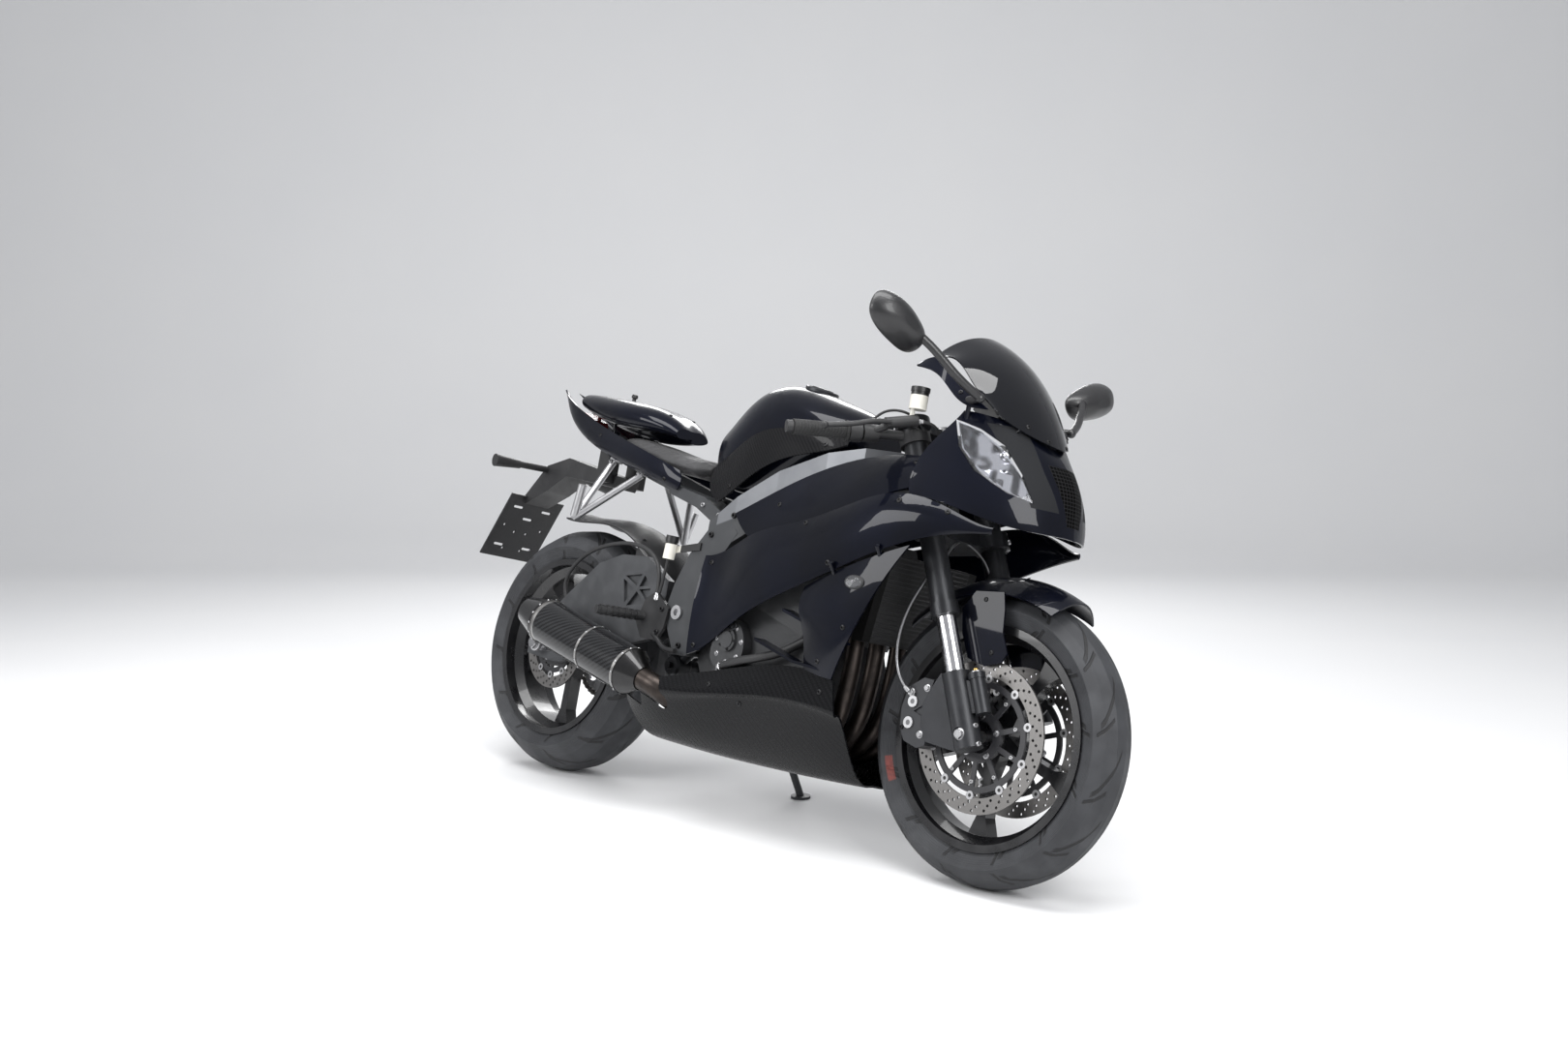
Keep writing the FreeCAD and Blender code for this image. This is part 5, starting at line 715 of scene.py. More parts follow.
# Rings of (radius, rise) round an axis; flats are the numbers of the six-sided rings
def addTurned(mesh, spot, axis, rings, sides, flats=(), stretch=(1, 1), side=None):
    axis = axis.normalized()
    right = (side - axis * side.dot(axis)).normalized() if side else axis.orthogonal().normalized()
    up = axis.cross(right)
    made = []
    for number, (radius, rise) in enumerate(rings):
        middle = spot + axis * rise
        if radius <= 0:
            made.append([mesh.verts.new(middle)])
            continue
        ring = []
        for i in range(sides):
            turn = 2 * math.pi * i / sides
            reach = radius
            if number in flats:
                reach = radius * math.cos(math.pi / 6) / math.cos(turn % (math.pi / 3) - math.pi / 6)
            ring.append(mesh.verts.new(middle + right * math.cos(turn) * reach * stretch[0]
                                       + up * math.sin(turn) * reach * stretch[1]))
        made.append(ring)
    for low, high in zip(made, made[1:]):
        for i in range(sides):
            corners = []
            for corner in (low[i % len(low)], low[(i + 1) % len(low)],
                           high[(i + 1) % len(high)], high[i % len(high)]):
                if corner not in corners:
                    corners.append(corner)
            if len(corners) > 2:
                mesh.faces.new(corners)
    for ring in (made[0], made[-1]):
        if len(ring) > 1:
            mesh.faces.new(ring)


def addSkin(mesh, rings):  # faces between rings with as many corners each, and both ends closed
    for low, high in zip(rings, rings[1:]):
        for i in range(len(low)):
            j = (i + 1) % len(low)
            mesh.faces.new([low[i], low[j], high[j], high[i]])
    mesh.faces.new(rings[0])
    mesh.faces.new(rings[-1])


def addBar(mesh, path, radius, sides):
    rings = []
    for number, spot in enumerate(path):
        ahead = path[min(number + 1, len(path) - 1)] - path[max(number - 1, 0)]
        axis = ahead.normalized()
        right = axis.cross(wayOn(0, 1, 0)).normalized()
        up = right.cross(axis)
        turns = [2 * math.pi * i / sides for i in range(sides)]
        rings.append([mesh.verts.new(spot + right * math.cos(turn) * radius + up * math.sin(turn) * radius)
                      for turn in turns])
    addSkin(mesh, rings)


def newPiece(name, mesh):
    bmesh.ops.recalc_face_normals(mesh, faces=mesh.faces)
    data = bpy.data.meshes.new(name)
    mesh.to_mesh(data)
    mesh.free()
    piece = bpy.data.objects.new(name, data)
    bpy.context.scene.collection.objects.link(piece)
    return piece


def keepPiece(name, mesh, finish, body, angle=35):
    piece = newPiece(name, mesh)
    dress(piece, finish, angle)
    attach(piece, body)
    return piece


# Screws and bolts: rings of (share of the radius, rise in radii) and the numbers of their six-sided rings
screwKinds = {
    "socket": {"rings": [(1, -0.5), (1, 0.55), (0.86, 0.75), (0.58, 0.75), (0.52, 0.66), (0.50, 0.15), (0, 0.1)],
               "flats": (4, 5)},
    "button": {"rings": [(1, -0.5), (1, 0.12), (0.88, 0.34), (0.62, 0.46), (0.46, 0.45), (0.43, 0.12), (0, 0.08)],
               "flats": (4, 5)},
    "hex": {"rings": [(1.35, -0.4), (1.35, 0.12), (1.28, 0.17), (1, 0.19), (1, 0.72), (0.84, 0.82), (0, 0.82)],
            "flats": (3, 4)},
}
screwSides = 18
farOut = {"side": 0.6, "ring": 0.5}  # how far from the middle the search for a surface starts
# Finish and slot of each stock of screws
stocks = {
    "black": ("screwBlack", "bracket_black"), "steel": ("bareSteel", "bare_steel"),
    "frame": ("screwBlack", "frame_grey"), "lug": ("screwBlack", "lug_grey"), "carrier": ("satinAlloy", "bare_steel"),
    "engine": ("bareSteel", "engine_grey"), "plug": ("screwBlack", "engine_grey"),
}
# Seen square from the side, on both sides: body, node, stock, kind, radius, places (x, z)
sideScrews = [
    ("chassis", "side_panels", "black", "button", 0.0062,
     [(1.200, 0.744), (1.309, 0.731), (0.930, 0.682), (0.610, 0.575), (0.598, 0.380), (1.035, 0.600)]),
    ("chassis", "upper_cowl", "black", "button", 0.0058, [(1.190, 0.832), (0.800, 0.722)]),
    ("chassis", "mid_fairings", "black", "button", 0.0056, [(1.105, 0.470), (1.035, 0.392)]),
    ("chassis", "belly_pan", "black", "button", 0.0062, [(0.790, 0.270), (1.040, 0.330), (0.700, 0.300)]),
    ("chassis", "main_frame", "frame", "socket", 0.0070, [(0.640, 0.690), (0.530, 0.372), (0.575, 0.640)]),
    ("chassis", "subframe", "steel", "socket", 0.0062, [(0.560, 0.690), (0.500, 0.712)]),
    ("chassis", "tank_covers", "black", "button", 0.0056, [(0.880, 0.868), (0.590, 0.760)]),
    ("chassis", "tail_fairing", "black", "button", 0.0052, [(0.360, 0.765), (0.060, 0.870)]),
    ("chassis", "rider_footrests", "black", "socket", 0.0062, [(0.460, 0.450), (0.455, 0.395)]),
    ("chassis", "pillion_hangers", "steel", "socket", 0.0055, [(0.226, 0.778), (0.110, 0.804)]),
    ("chassis", "cowl_wings", "black", "button", 0.0050, [(1.262, 0.985)]),
    ("chassis", "swingarm", "steel", "hex", 0.0050, [(-0.046, 0.316)]),
    ("chassis", "rear_axle", "steel", "hex", 0.0160, [(0.0, 0.315)]),
    ("steering", "front_fender", "black", "button", 0.0052, [(1.350, 0.575), (1.385, 0.470)]),
    ("steering", "front_calipers", "steel", "hex", 0.0060, [(1.262, 0.378), (1.262, 0.282)]),
    ("steering", "front_calipers", "lug", "socket", 0.0048, [(1.212, 0.290)]),
    ("steering", "front_axle", "steel", "hex", 0.0100, [(1.380, 0.300)]),
]
# Rings of bolts: body, node, stock, kind, radius, centre (x, z), ring radius, how many, first turn, sides
boltRings = {
    "frontHubBolts": ("front_wheel", "front_discs", "steel", "button", 0.0070, (1.380, 0.300), 0.0425, 5, 18,
                      (-1, 1)),
    "frontCarrierBolts": ("front_wheel", "front_discs", "carrier", "socket", 0.0044, (1.380, 0.300), 0.0900, 10, 18,
                          (-1, 1)),
    "rearHubBolts": ("rear_wheel", "rear_disc", "steel", "button", 0.0065, (0.0, 0.315), 0.0425, 5, 18, (-1,)),
    "sprocketNuts": ("rear_wheel", "rear_sprocket", "steel", "hex", 0.0070, (0.0, 0.315), 0.0425, 5, 18, (1,)),
    "generatorBolts": ("chassis", "engine_covers", "engine", "hex", 0.0045, (0.832, 0.350), 0.0480, 7, 5, (1,)),
    "clutchBolts": ("chassis", "engine_covers", "engine", "hex", 0.0042, (0.713, 0.396), 0.0410, 7, 12, (-1,)),
    "clutchPlugBolts": ("chassis", "engine_covers", "plug", "socket", 0.0032, (0.712, 0.405), 0.0220, 5, 0, (-1,)),
}
# Single screws: body, node, stock, kind, radius, heading, starts; a start off the middle is mirrored
looseScrews = {
    "screenScrews": ("chassis", "windscreen", "black", "button", 0.0050, (-1, 0, 0),
                     [(1.6, 0.070, 0.935), (1.6, 0.125, 0.952), (1.6, 0.032, 0.913)]),
    "axlePinchBolts": ("steering", "fork_lugs", "steel", "socket", 0.0052, (-1, 0, 0),
                       [(1.6, 0.113, 0.288), (1.6, 0.113, 0.322)]),
    "yokePinchBolts": ("steering", "lower_yoke", "steel", "socket", 0.0056, (-1, 0, 0),
                       [(1.6, 0.122, 0.703), (1.6, 0.122, 0.718)]),
    "clampBolts": ("steering", "handlebars", "steel", "socket", 0.0048, (1, 0, 0), [(0.9, 0.100, 0.893)]),
    "topYokeBolts": ("steering", "top_yoke", "steel", "socket", 0.0052, (1, 0, 0), [(0.9, 0.118, 0.912)]),
    "boardBolts": ("chassis", "plate_holder", "steel", "button", 0.0060, (1, 0, 0),
                   [(-0.9, 0.066, 0.556), (-0.9, 0.066, 0.650)]),
    "huggerScrews": ("chassis", "rear_hugger", "black", "button", 0.0052, (0, 0, -1), [(0.250, 0.060, 1.2)]),
    "humpScrews": ("chassis", "seat_cowl", "black", "button", 0.0048, (0, 0, -1), [(0.240, 0.040, 1.3)]),
    "pumpCoverBolts": ("chassis", "engine_covers", "engine", "hex", 0.0038, (0, 1, 0),
                       [(0.690, -0.5, 0.334), (0.678, -0.5, 0.312), (0.702, -0.5, 0.312)]),
}


def addScrew(mesh, nodeName, kind, radius, start, heading):
    spot, normal = landOn(nodeName, start, heading)
    if spot is not None:
        rings = [(reach * radius, rise * radius) for reach, rise in screwKinds[kind]["rings"]]
        addTurned(mesh, spot, normal, rings, screwSides, screwKinds[kind]["flats"])


def makeScrews():
    groups = {}
    for body, nodeName, stock, kind, radius, spots in sideScrews:
        group = (body, *stocks[stock])
        if group not in groups:
            groups[group] = bmesh.new()
        for x, z in spots:
            for side in bothSides:
                addScrew(groups[group], nodeName, kind, radius, (x, side * farOut["side"], z), (0, -side, 0))
    for (body, finish, slot), mesh in groups.items():
        keepPiece(body + "Screws." + finish + "." + slot, mesh, finish, body)
    for name, (body, nodeName, stock, kind, radius, centre, ring, count, first, sides) in boltRings.items():
        mesh = bmesh.new()
        for i in range(count):
            turn = math.radians(first + 360 * i / count)
            for side in sides:
                x, z = centre[0] + ring * math.cos(turn), centre[1] + ring * math.sin(turn)
                addScrew(mesh, nodeName, kind, radius, (x, side * farOut["ring"], z), (0, -side, 0))
        finish, slot = stocks[stock]
        keepPiece(name, mesh, finish, body)
    for name, (body, nodeName, stock, kind, radius, heading, starts) in looseScrews.items():
        mesh = bmesh.new()
        for x, y, z in starts:
            for side in bothSides if heading[1] == 0 and y else (1,):
                addScrew(mesh, nodeName, kind, radius, (x, y * side, z), heading)
        finish, slot = stocks[stock]
        keepPiece(name, mesh, finish, body)


# Small turned parts: body, node, finish, slot, start, heading, rings of (radius, rise), and what else they have:
# flats for six-sided rings, stretch along and across, both for one on each side
turnedParts = {
    "fillerCap": ("chassis", "fuel_tank", "darkAlloy", "lug_grey", (0.715, 0, 1.3), (0, 0, -1),
                  [(0.041, -0.010), (0.041, 0.003), (0.038, 0.0055), (0.030, 0.0055), (0.0285, 0.0025),
                   (0.027, 0.0025), (0.0255, 0.0075), (0.011, 0.009), (0.010, 0.0075), (0, 0.0075)], {}),
    "fillerLock": ("chassis", "fuel_tank", "satinAlloy", "bare_steel", (0.715, 0, 1.3), (0, 0, -1),
                   [(0.0075, 0.004), (0.0075, 0.0096), (0.0068, 0.0102), (0.002, 0.0102), (0.0018, 0.0088),
                    (0, 0.0088)], {}),
    "humpKnob": ("chassis", "seat_cowl", "blackPlastic", "bracket_black", (0.034, 0, 1.3), (0, 0, -1),
                 [(0.0070, -0.004), (0.0055, 0.002), (0.0050, 0.008), (0.0082, 0.010), (0.0086, 0.015),
                  (0.0070, 0.019), (0, 0.020)], {}),
    "signalCups": ("chassis", "mid_fairings", "blackPlastic", "bracket_black", (1.119, 0.5, 0.566), (0, -1, 0),
                   [(0.0225, -0.006), (0.0225, 0.0015), (0.0208, 0.0030), (0.019, 0.0030), (0.018, 0.0005),
                    (0, 0.0005)], {"stretch": (1.2, 0.66), "both": True}),
    "signalLenses": ("chassis", "mid_fairings", "clearLens", "lamp_clear", (1.119, 0.5, 0.566), (0, -1, 0),
                     [(0.0192, 0.0008), (0.0192, 0.0045), (0.0168, 0.0085), (0.0115, 0.0112), (0.005, 0.0125),
                      (0, 0.0127)], {"stretch": (1.2, 0.66), "both": True}),
    "leverSwitches": ("steering", "bar_controls", "redPlastic", "control_black", (0.80, 0.226, 0.886), (1, 0, 0),
                      [(0.0052, -0.003), (0.0052, 0.0022), (0.0042, 0.0034), (0, 0.0036)],
                      {"stretch": (1.3, 0.8), "both": True}),
    "leverButtons": ("steering", "bar_controls", "darkAlloy", "control_black", (0.80, 0.240, 0.880), (1, 0, 0),
                     [(0.0044, -0.003), (0.0044, 0.0022), (0.0036, 0.0032), (0, 0.0033)], {"both": True}),
    "ignitionLock": ("steering", "top_yoke", "satinAlloy", "bare_steel", (1.100, 0, 1.3), (0, 0, -1),
                     [(0.0135, -0.004), (0.0135, 0.006), (0.012, 0.008), (0.0075, 0.008), (0.007, 0.006),
                      (0.002, 0.006), (0.0018, 0.004), (0, 0.004)], {}),
    "stemNut": ("steering", "top_yoke", "satinAlloy", "bare_steel", (1.0735, 0, 1.3), (0, 0, -1),
                [(0.0215, -0.016), (0.0215, -0.004), (0.0195, -0.002), (0.0185, 0.003), (0.0105, 0.003),
                 (0.010, -0.004), (0, -0.004)], {"flats": (1, 2)}),
    "dialRing": ("chassis", "instrument_cluster", "darkAlloy", "lug_grey", (1.05, 0.028, 1.16), (0.78, 0, -0.62),
                 [(0.0165, -0.002), (0.0165, 0.003), (0.0150, 0.0036), (0.0142, 0.0012), (0, 0.0012)], {}),
    "dialPanel": ("chassis", "instrument_cluster", "smokeScreen", "control_black", (1.05, -0.024, 1.16),
                  (0.78, 0, -0.62), [(0.0160, -0.002), (0.0160, 0.0015), (0.0152, 0.0022), (0, 0.0022)],
                  {"stretch": (1, 1.5)}),
    "banjoBolts": ("steering", "front_calipers", "satinAlloy", "bare_steel", (1.226, 0.5, 0.364), (0, -1, 0),
                   [(0.0085, -0.004), (0.0085, 0.004), (0.0068, 0.0045), (0.0068, 0.0095), (0.0055, 0.0105),
                    (0, 0.0105)], {"flats": (2, 3, 4), "both": True}),
    "barrelCaps": ("steering", "fork_lugs", "satinAlloy", "lug_grey", (1.3597, 0.107, 0.4667),
                   (0.40674, 0, -0.91355),
                   [(0.0112, -0.003), (0.0112, 0.0035), (0.0098, 0.0048), (0.0055, 0.0048), (0, 0.0048)],
                   {"both": True}),
    "barrelScrews": ("steering", "fork_lugs", "goldAnodised", "lug_grey", (1.3597, 0.107, 0.4667),
                     (0.40674, 0, -0.91355), [(0.0052, 0.004), (0.0052, 0.0092), (0.0042, 0.0104), (0.0014, 0.0104),
                                              (0.0012, 0.008), (0, 0.008)], {"both": True}),
    "oilCap": ("chassis", "engine_covers", "darkAlloy", "engine_grey", (0.725, -0.5, 0.437), (0, 1, 0),
               [(0.0100, -0.004), (0.0100, 0.004), (0.0086, 0.006), (0.0050, 0.006), (0.0045, 0.010), (0, 0.0105)],
               {}),
}
turnedSides = 36


def makeTurnedParts():
    for name, (body, nodeName, finish, slot, start, heading, rings, more) in turnedParts.items():
        mesh = bmesh.new()
        for side in bothSides if "both" in more else (1,):
            spot, normal = landOn(nodeName, (start[0], start[1] * side, start[2]),
                                  (heading[0], heading[1] * side, heading[2]))
            if spot is not None:
                ahead = wayOn(1, 0, 0) if abs(normal.dot(wayOn(1, 0, 0))) < 0.8 else wayOn(0, 0, 1)
                addTurned(mesh, spot, normal, rings, turnedSides, more.get("flats", ()), more.get("stretch", (1, 1)),
                          ahead)
        keepPiece(name, mesh, finish, body)


# Rear indicators: amber lenses on the rear of both pods
podLook = {"middle": (-0.2475, 0.166, 0.7733), "reach": (0.0125, 0.032, 0.0135), "back": -0.006}


def makePodLenses():
    mesh = bmesh.new()
    middleX, middleY, middleZ = podLook["middle"]
    long, wide, tall = podLook["reach"]
    for side in bothSides:
        made = bmesh.ops.create_uvsphere(mesh, u_segments=24, v_segments=14, radius=1)
        for vertex in made["verts"]:
            x, y, z = vertex.co
            flat = -abs(x) ** 0.8 if x < 0 else 0.25 * x  # domed behind, nearly flat in front
            vertex.co = onBike(middleX + podLook["back"] + long * flat, (middleY + wide * y) * side,
                               middleZ + tall * z)
    keepPiece("amberLenses", mesh, "amberLens", "chassis")


# Mirror glass in each head
glassLook = {"outline": [(1.70, 1.104), (1.62, 1.132), (1.40, 1.128), (1.18, 1.098), (1.06, 1.062), (1.14, 1.038),
                         (1.38, 1.040), (1.60, 1.062)], "share": 0.855, "x": 1.2155, "half": 0.25, "thick": 0.0015}


def smoothLoop(points, count):
    whole = []
    total = len(points)
    for i in range(total):
        before, start, end, after = [Vector(points[(i + step) % total]) for step in (-1, 0, 1, 2)]
        for step in range(count):
            t = step / count
            whole.append(0.5 * ((2 * start) + (end - before) * t + (2 * before - 5 * start + 4 * end - after) * t * t
                                + (3 * start - before - 3 * end + after) * t * t * t))
    return whole


def makeMirrorGlass():
    mesh = bmesh.new()
    outline = [(y * glassLook["half"], z, 0) for y, z in glassLook["outline"]]
    middle = sum((Vector(p) for p in outline), Vector()) / len(outline)
    rim = [middle + (p - middle) * glassLook["share"] for p in smoothLoop(outline, 6)]
    for side in bothSides:
        addSkin(mesh, [[mesh.verts.new(onBike(x, p.x * side, p.y)) for p in rim]
                       for x in (glassLook["x"], glassLook["x"] + glassLook["thick"])])
    keepPiece("mirrorGlass", mesh, "mirrorGlass", "chassis")


# Shields over the bulbs, inside the lamp bowls
shieldLook = {"spot": (1.352, 0.096, 0.868), "heading": (0.72, 0.60, -0.10), "radius": 0.0105, "length": 0.022,
              "rings": [(1, -0.4), (1, 0.4), (0.92, 0.62), (0.66, 0.86), (0.34, 0.98), (0, 1)], "sides": 24}


def makeLampShields():
    mesh = bmesh.new()
    x, y, z = shieldLook["spot"]
    ahead, out, up = shieldLook["heading"]
    rings = [(reach * shieldLook["radius"], rise * shieldLook["length"]) for reach, rise in shieldLook["rings"]]
    for side in bothSides:
        addTurned(mesh, onBike(x, y * side, z), wayOn(ahead, out * side, up), rings, shieldLook["sides"])
    keepPiece("lampShields", mesh, "chrome", "chassis")


# Rivets round the silencer's bands
rivetLook = {"shares": (0.112, 0.418, 0.832), "count": 14, "radius": 0.0030, "around": 0.0584,
             "rings": [(1, -0.4), (0.95, 0.25), (0.6, 0.55), (0, 0.66)], "sides": 10}


def acrossRun(run):  # two ways square to a run and to each other
    right = run.orthogonal().normalized()
    return right, run.normalized().cross(right)


def makeRivets():
    mesh = bmesh.new()
    front, rear = onBike(*silencerLook["front"]), onBike(*silencerLook["rear"])
    run = rear - front
    right, up = acrossRun(run)
    rings = [(reach * rivetLook["radius"], rise * rivetLook["radius"]) for reach, rise in rivetLook["rings"]]
    for share in rivetLook["shares"]:
        for i in range(rivetLook["count"]):
            turn = 2 * math.pi * i / rivetLook["count"]
            out = right * math.cos(turn) + up * math.sin(turn)
            addTurned(mesh, front + run * share + out * rivetLook["around"], out, rings, rivetLook["sides"])
    keepPiece("silencerRivets", mesh, "bareSteel", "chassis")


# Drive chain: two side plates a link, pins and rollers, on the line of the solid loop
chainLook = {"pitch": 0.015875, "rearTeeth": 45, "frontTeeth": 16, "shaft": (0.58997, 0.440), "side": 0.103,
             "inner": 0.0040, "outer": 0.0058, "plate": 0.0014, "tall": 0.0056, "waist": 0.0040,
             "roller": (0.0045, 0.0038), "pin": (0.0022, 0.0068)}  # roller and pin: radius and half length


def chainPins():
    look = chainLook
    rear = look["pitch"] / (2 * math.sin(math.pi / look["rearTeeth"]))
    front = look["pitch"] / (2 * math.sin(math.pi / look["frontTeeth"]))
    hub = Vector((0, 0, stance["rearAxle"][2]))
    shaft = Vector((look["shaft"][0], 0, look["shaft"][1]))
    run = shaft - hub
    heading = math.atan2(run.z, run.x)
    leanIn = math.asin((rear - front) / run.length)
    straight = run.length * math.cos(leanIn)
    wraps = ((math.pi - 2 * leanIn) * front, (math.pi + 2 * leanIn) * rear)
    total = 2 * straight + sum(wraps)
    count = 2 * round(total / look["pitch"] / 2)
    top, low = heading + math.pi / 2 - leanIn, heading - math.pi / 2 + leanIn
    pins = []
    for i in range(count):
        at = total * i / count
        if at < straight:
            out = Vector((math.cos(top), 0, math.sin(top)))
            pins.append(hub + out * rear + Vector((out.z, 0, -out.x)) * at)
        elif at < straight + wraps[0]:
            turn = top - (at - straight) / front
            pins.append(shaft + Vector((math.cos(turn), 0, math.sin(turn))) * front)
        elif at < 2 * straight + wraps[0]:
            out = Vector((math.cos(low), 0, math.sin(low)))
            pins.append(shaft + out * front + Vector((out.z, 0, -out.x)) * (at - straight - wraps[0]))
        else:
            turn = low - (at - 2 * straight - wraps[0]) / rear
            pins.append(hub + Vector((math.cos(turn), 0, math.sin(turn))) * rear)
    return pins


def makeChain():
    look = chainLook
    mesh = bmesh.new()
    pins = chainPins()
    for number, (start, end) in enumerate(zip(pins, pins[1:] + pins[:1])):
        along = (end - start).normalized()
        up = Vector((-along.z, 0, along.x))
        outline = []
        for middle, first in ((end, -90), (start, 90)):
            for step in range(7):
                turn = math.radians(first + step * 30)
                outline.append(middle + (along * math.cos(turn) + up * math.sin(turn)) * look["tall"])
            outline.append((start + end) / 2 + up * look["waist"] * (1 if first < 0 else -1))
        gap = look["inner"] if number % 2 else look["outer"]
        for side in bothSides:
            addSkin(mesh, [[mesh.verts.new(onBike(p.x, look["side"] + side * across, p.z)) for p in outline]
                           for across in (gap, gap + look["plate"])])
        spot = onBike(start.x, look["side"], start.z)
        for (radius, half), sides in ((look["roller"], 10), (look["pin"], 8)):
            addTurned(mesh, spot, wayOn(0, 1, 0), [(radius, -half), (radius, half)], sides)
    chain = keepPiece("linkChain", mesh, "darkSteel", "chassis")
    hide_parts("drive_chain")


# Spring of the rear shock
springLook = {"low": (0.425, 0, 0.452), "top": (0.538, 0, 0.597), "radius": 0.0385, "wire": 0.0052, "turns": 6.5,
              "steps": 150, "sides": 8}


def makeSpring():
    low, top = onBike(*springLook["low"]), onBike(*springLook["top"])
    run = top - low
    right, up = acrossRun(run)
    mesh = bmesh.new()
    count = springLook["steps"]
    path = []
    for i in range(count + 1):
        turn = 2 * math.pi * springLook["turns"] * i / count
        out = right * math.cos(turn) + up * math.sin(turn)
        path.append(low + run * (i / count) + out * springLook["radius"])
    addBar(mesh, path, springLook["wire"], springLook["sides"])
    keepPiece("shockSpring", mesh, "darkAlloy", "chassis", 60)


# Suspension link under the swingarm's pivot: a rocker, its arms and its pins
linkLook = {"rocker": (0.432, 0.322), "upper": (0.500, 0.392), "drum": 0.027, "waist": 0.72, "rim": 0.8, "arm": 0.013,
            "armOut": 0.038, "half": 0.062, "pin": 0.009, "pinOut": 0.012, "sides": 28, "armSides": 14}


def makeLink():
    mesh = bmesh.new()
    look = linkLook
    low, high = look["rocker"], look["upper"]
    half, drum = look["half"], look["drum"]
    left = [(drum * look["waist"], 0.012), (drum, 0.020), (drum, half - 0.006), (drum * look["rim"], half),
            (look["pin"], half), (look["pin"], half + look["pinOut"])]
    rings = [(reach, -rise) for reach, rise in reversed(left)] + left
    addTurned(mesh, onBike(low[0], 0, low[1]), wayOn(0, 1, 0), rings, look["sides"])
    for side in bothSides:
        arm = [onBike(low[0] + (high[0] - low[0]) * t, side * look["armOut"], low[1] + (high[1] - low[1]) * t)
               for t in (0, 0.35, 0.7, 1)]
        addBar(mesh, arm, look["arm"], look["armSides"])
    keepPiece("suspensionLink", mesh, "darkAlloy", "chassis", 40)


# Hoses and cables, held at both ends; the two front ones mirror each other
frontHosePoints = [(1.226, 0.122, 0.366), (1.199, 0.126, 0.384), (1.178, 0.128, 0.450), (1.190, 0.128, 0.530),
                   (1.216, 0.112, 0.600), (1.226, 0.078, 0.650), (1.214, 0.040, 0.684), (1.205, 0.012, 0.694)]
hoses = {
    "frontHoseRight": {"body": "steering", "kind": "braided", "radius": 0.0032, "length": 0.397,
                       "points": [(x, -y, z) for x, y, z in frontHosePoints]},
    "frontHoseLeft": {"body": "steering", "kind": "braided", "radius": 0.0032, "length": 0.397,
                      "points": frontHosePoints},
    "pumpHose": {"body": "steering", "kind": "rubber", "radius": 0.0038, "length": 0.276,
                 "points": [(1.149, -0.150, 0.922), (1.172, -0.128, 0.928), (1.180, -0.096, 0.900),
                            (1.182, -0.074, 0.850), (1.186, -0.060, 0.790), (1.194, -0.040, 0.735),
                            (1.200, -0.020, 0.712)]},
    "throttleCableOne": {"body": "steering", "kind": "rubber", "radius": 0.0030, "length": 0.257,
                         "points": [(1.062, -0.206, 0.896), (1.080, -0.196, 0.930), (1.112, -0.172, 0.944),
                                    (1.136, -0.136, 0.934), (1.146, -0.104, 0.900), (1.140, -0.076, 0.860),
                                    (1.134, -0.058, 0.826)]},
    "throttleCableTwo": {"body": "steering", "kind": "rubber", "radius": 0.0030, "length": 0.250,
                         "points": [(1.070, -0.200, 0.878), (1.092, -0.188, 0.914), (1.122, -0.158, 0.926),
                                    (1.140, -0.124, 0.912), (1.146, -0.094, 0.880), (1.142, -0.066, 0.842),
                                    (1.138, -0.048, 0.812)]},
    "clutchCable": {"body": "steering", "kind": "rubber", "radius": 0.0032, "length": 0.223,
                    "points": [(1.126, 0.182, 0.918), (1.156, 0.156, 0.920), (1.174, 0.120, 0.900),
                               (1.176, 0.084, 0.862), (1.166, 0.060, 0.820), (1.156, 0.046, 0.784)]},
    "rearHose": {"body": "chassis", "kind": "rubber", "radius": 0.0052, "length": 0.599,
                 "points": [(0.090, -0.106, 0.404), (0.052, -0.114, 0.430), (0.040, -0.122, 0.492),
                            (0.100, -0.124, 0.556), (0.190, -0.124, 0.590), (0.290, -0.124, 0.602),
                            (0.380, -0.130, 0.580), (0.428, -0.140, 0.525), (0.432, -0.146, 0.470)]},
    "cupHose": {"body": "chassis", "kind": "rubber", "radius": 0.0040, "length": 0.086,
                "points": [(0.4585, -0.1548, 0.571), (0.4575, -0.1548, 0.552), (0.452, -0.153, 0.530),
                           (0.446, -0.149, 0.508), (0.440, -0.147, 0.488)]},
    "coolantHose": {"body": "chassis", "kind": "rubber", "radius": 0.0100, "length": 0.251,
                    "points": [(0.702, -0.158, 0.342), (0.760, -0.170, 0.362), (0.830, -0.166, 0.378),
                               (0.890, -0.152, 0.400), (0.930, -0.138, 0.432)]},
}
hoseKinds = {"braided": ("braidedHose", "bare_steel"), "rubber": ("hoseRubber", "control_black")}  # finish and slot


def makeHose(name, look):
    data = bpy.data.curves.new(name, "CURVE")
    data.dimensions = "3D"
    spline = data.splines.new("NURBS")
    spline.points.add(len(look["points"]) - 1)
    for point, at in zip(spline.points, look["points"]):
        point.co = (*onBike(*at), 1)
    spline.order_u = 3
    spline.use_endpoint_u = True
    spline.resolution_u = 10
    data.bevel_depth = look["radius"]
    data.bevel_resolution = 3
    data.use_fill_caps = True
    finish, slot = hoseKinds[look["kind"]]
    data.materials.append(finishes[finish])
    hose = bpy.data.objects.new(name, data)
    bpy.context.scene.collection.objects.link(hose)
    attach(hose, look["body"])
    look["radius"] * 2


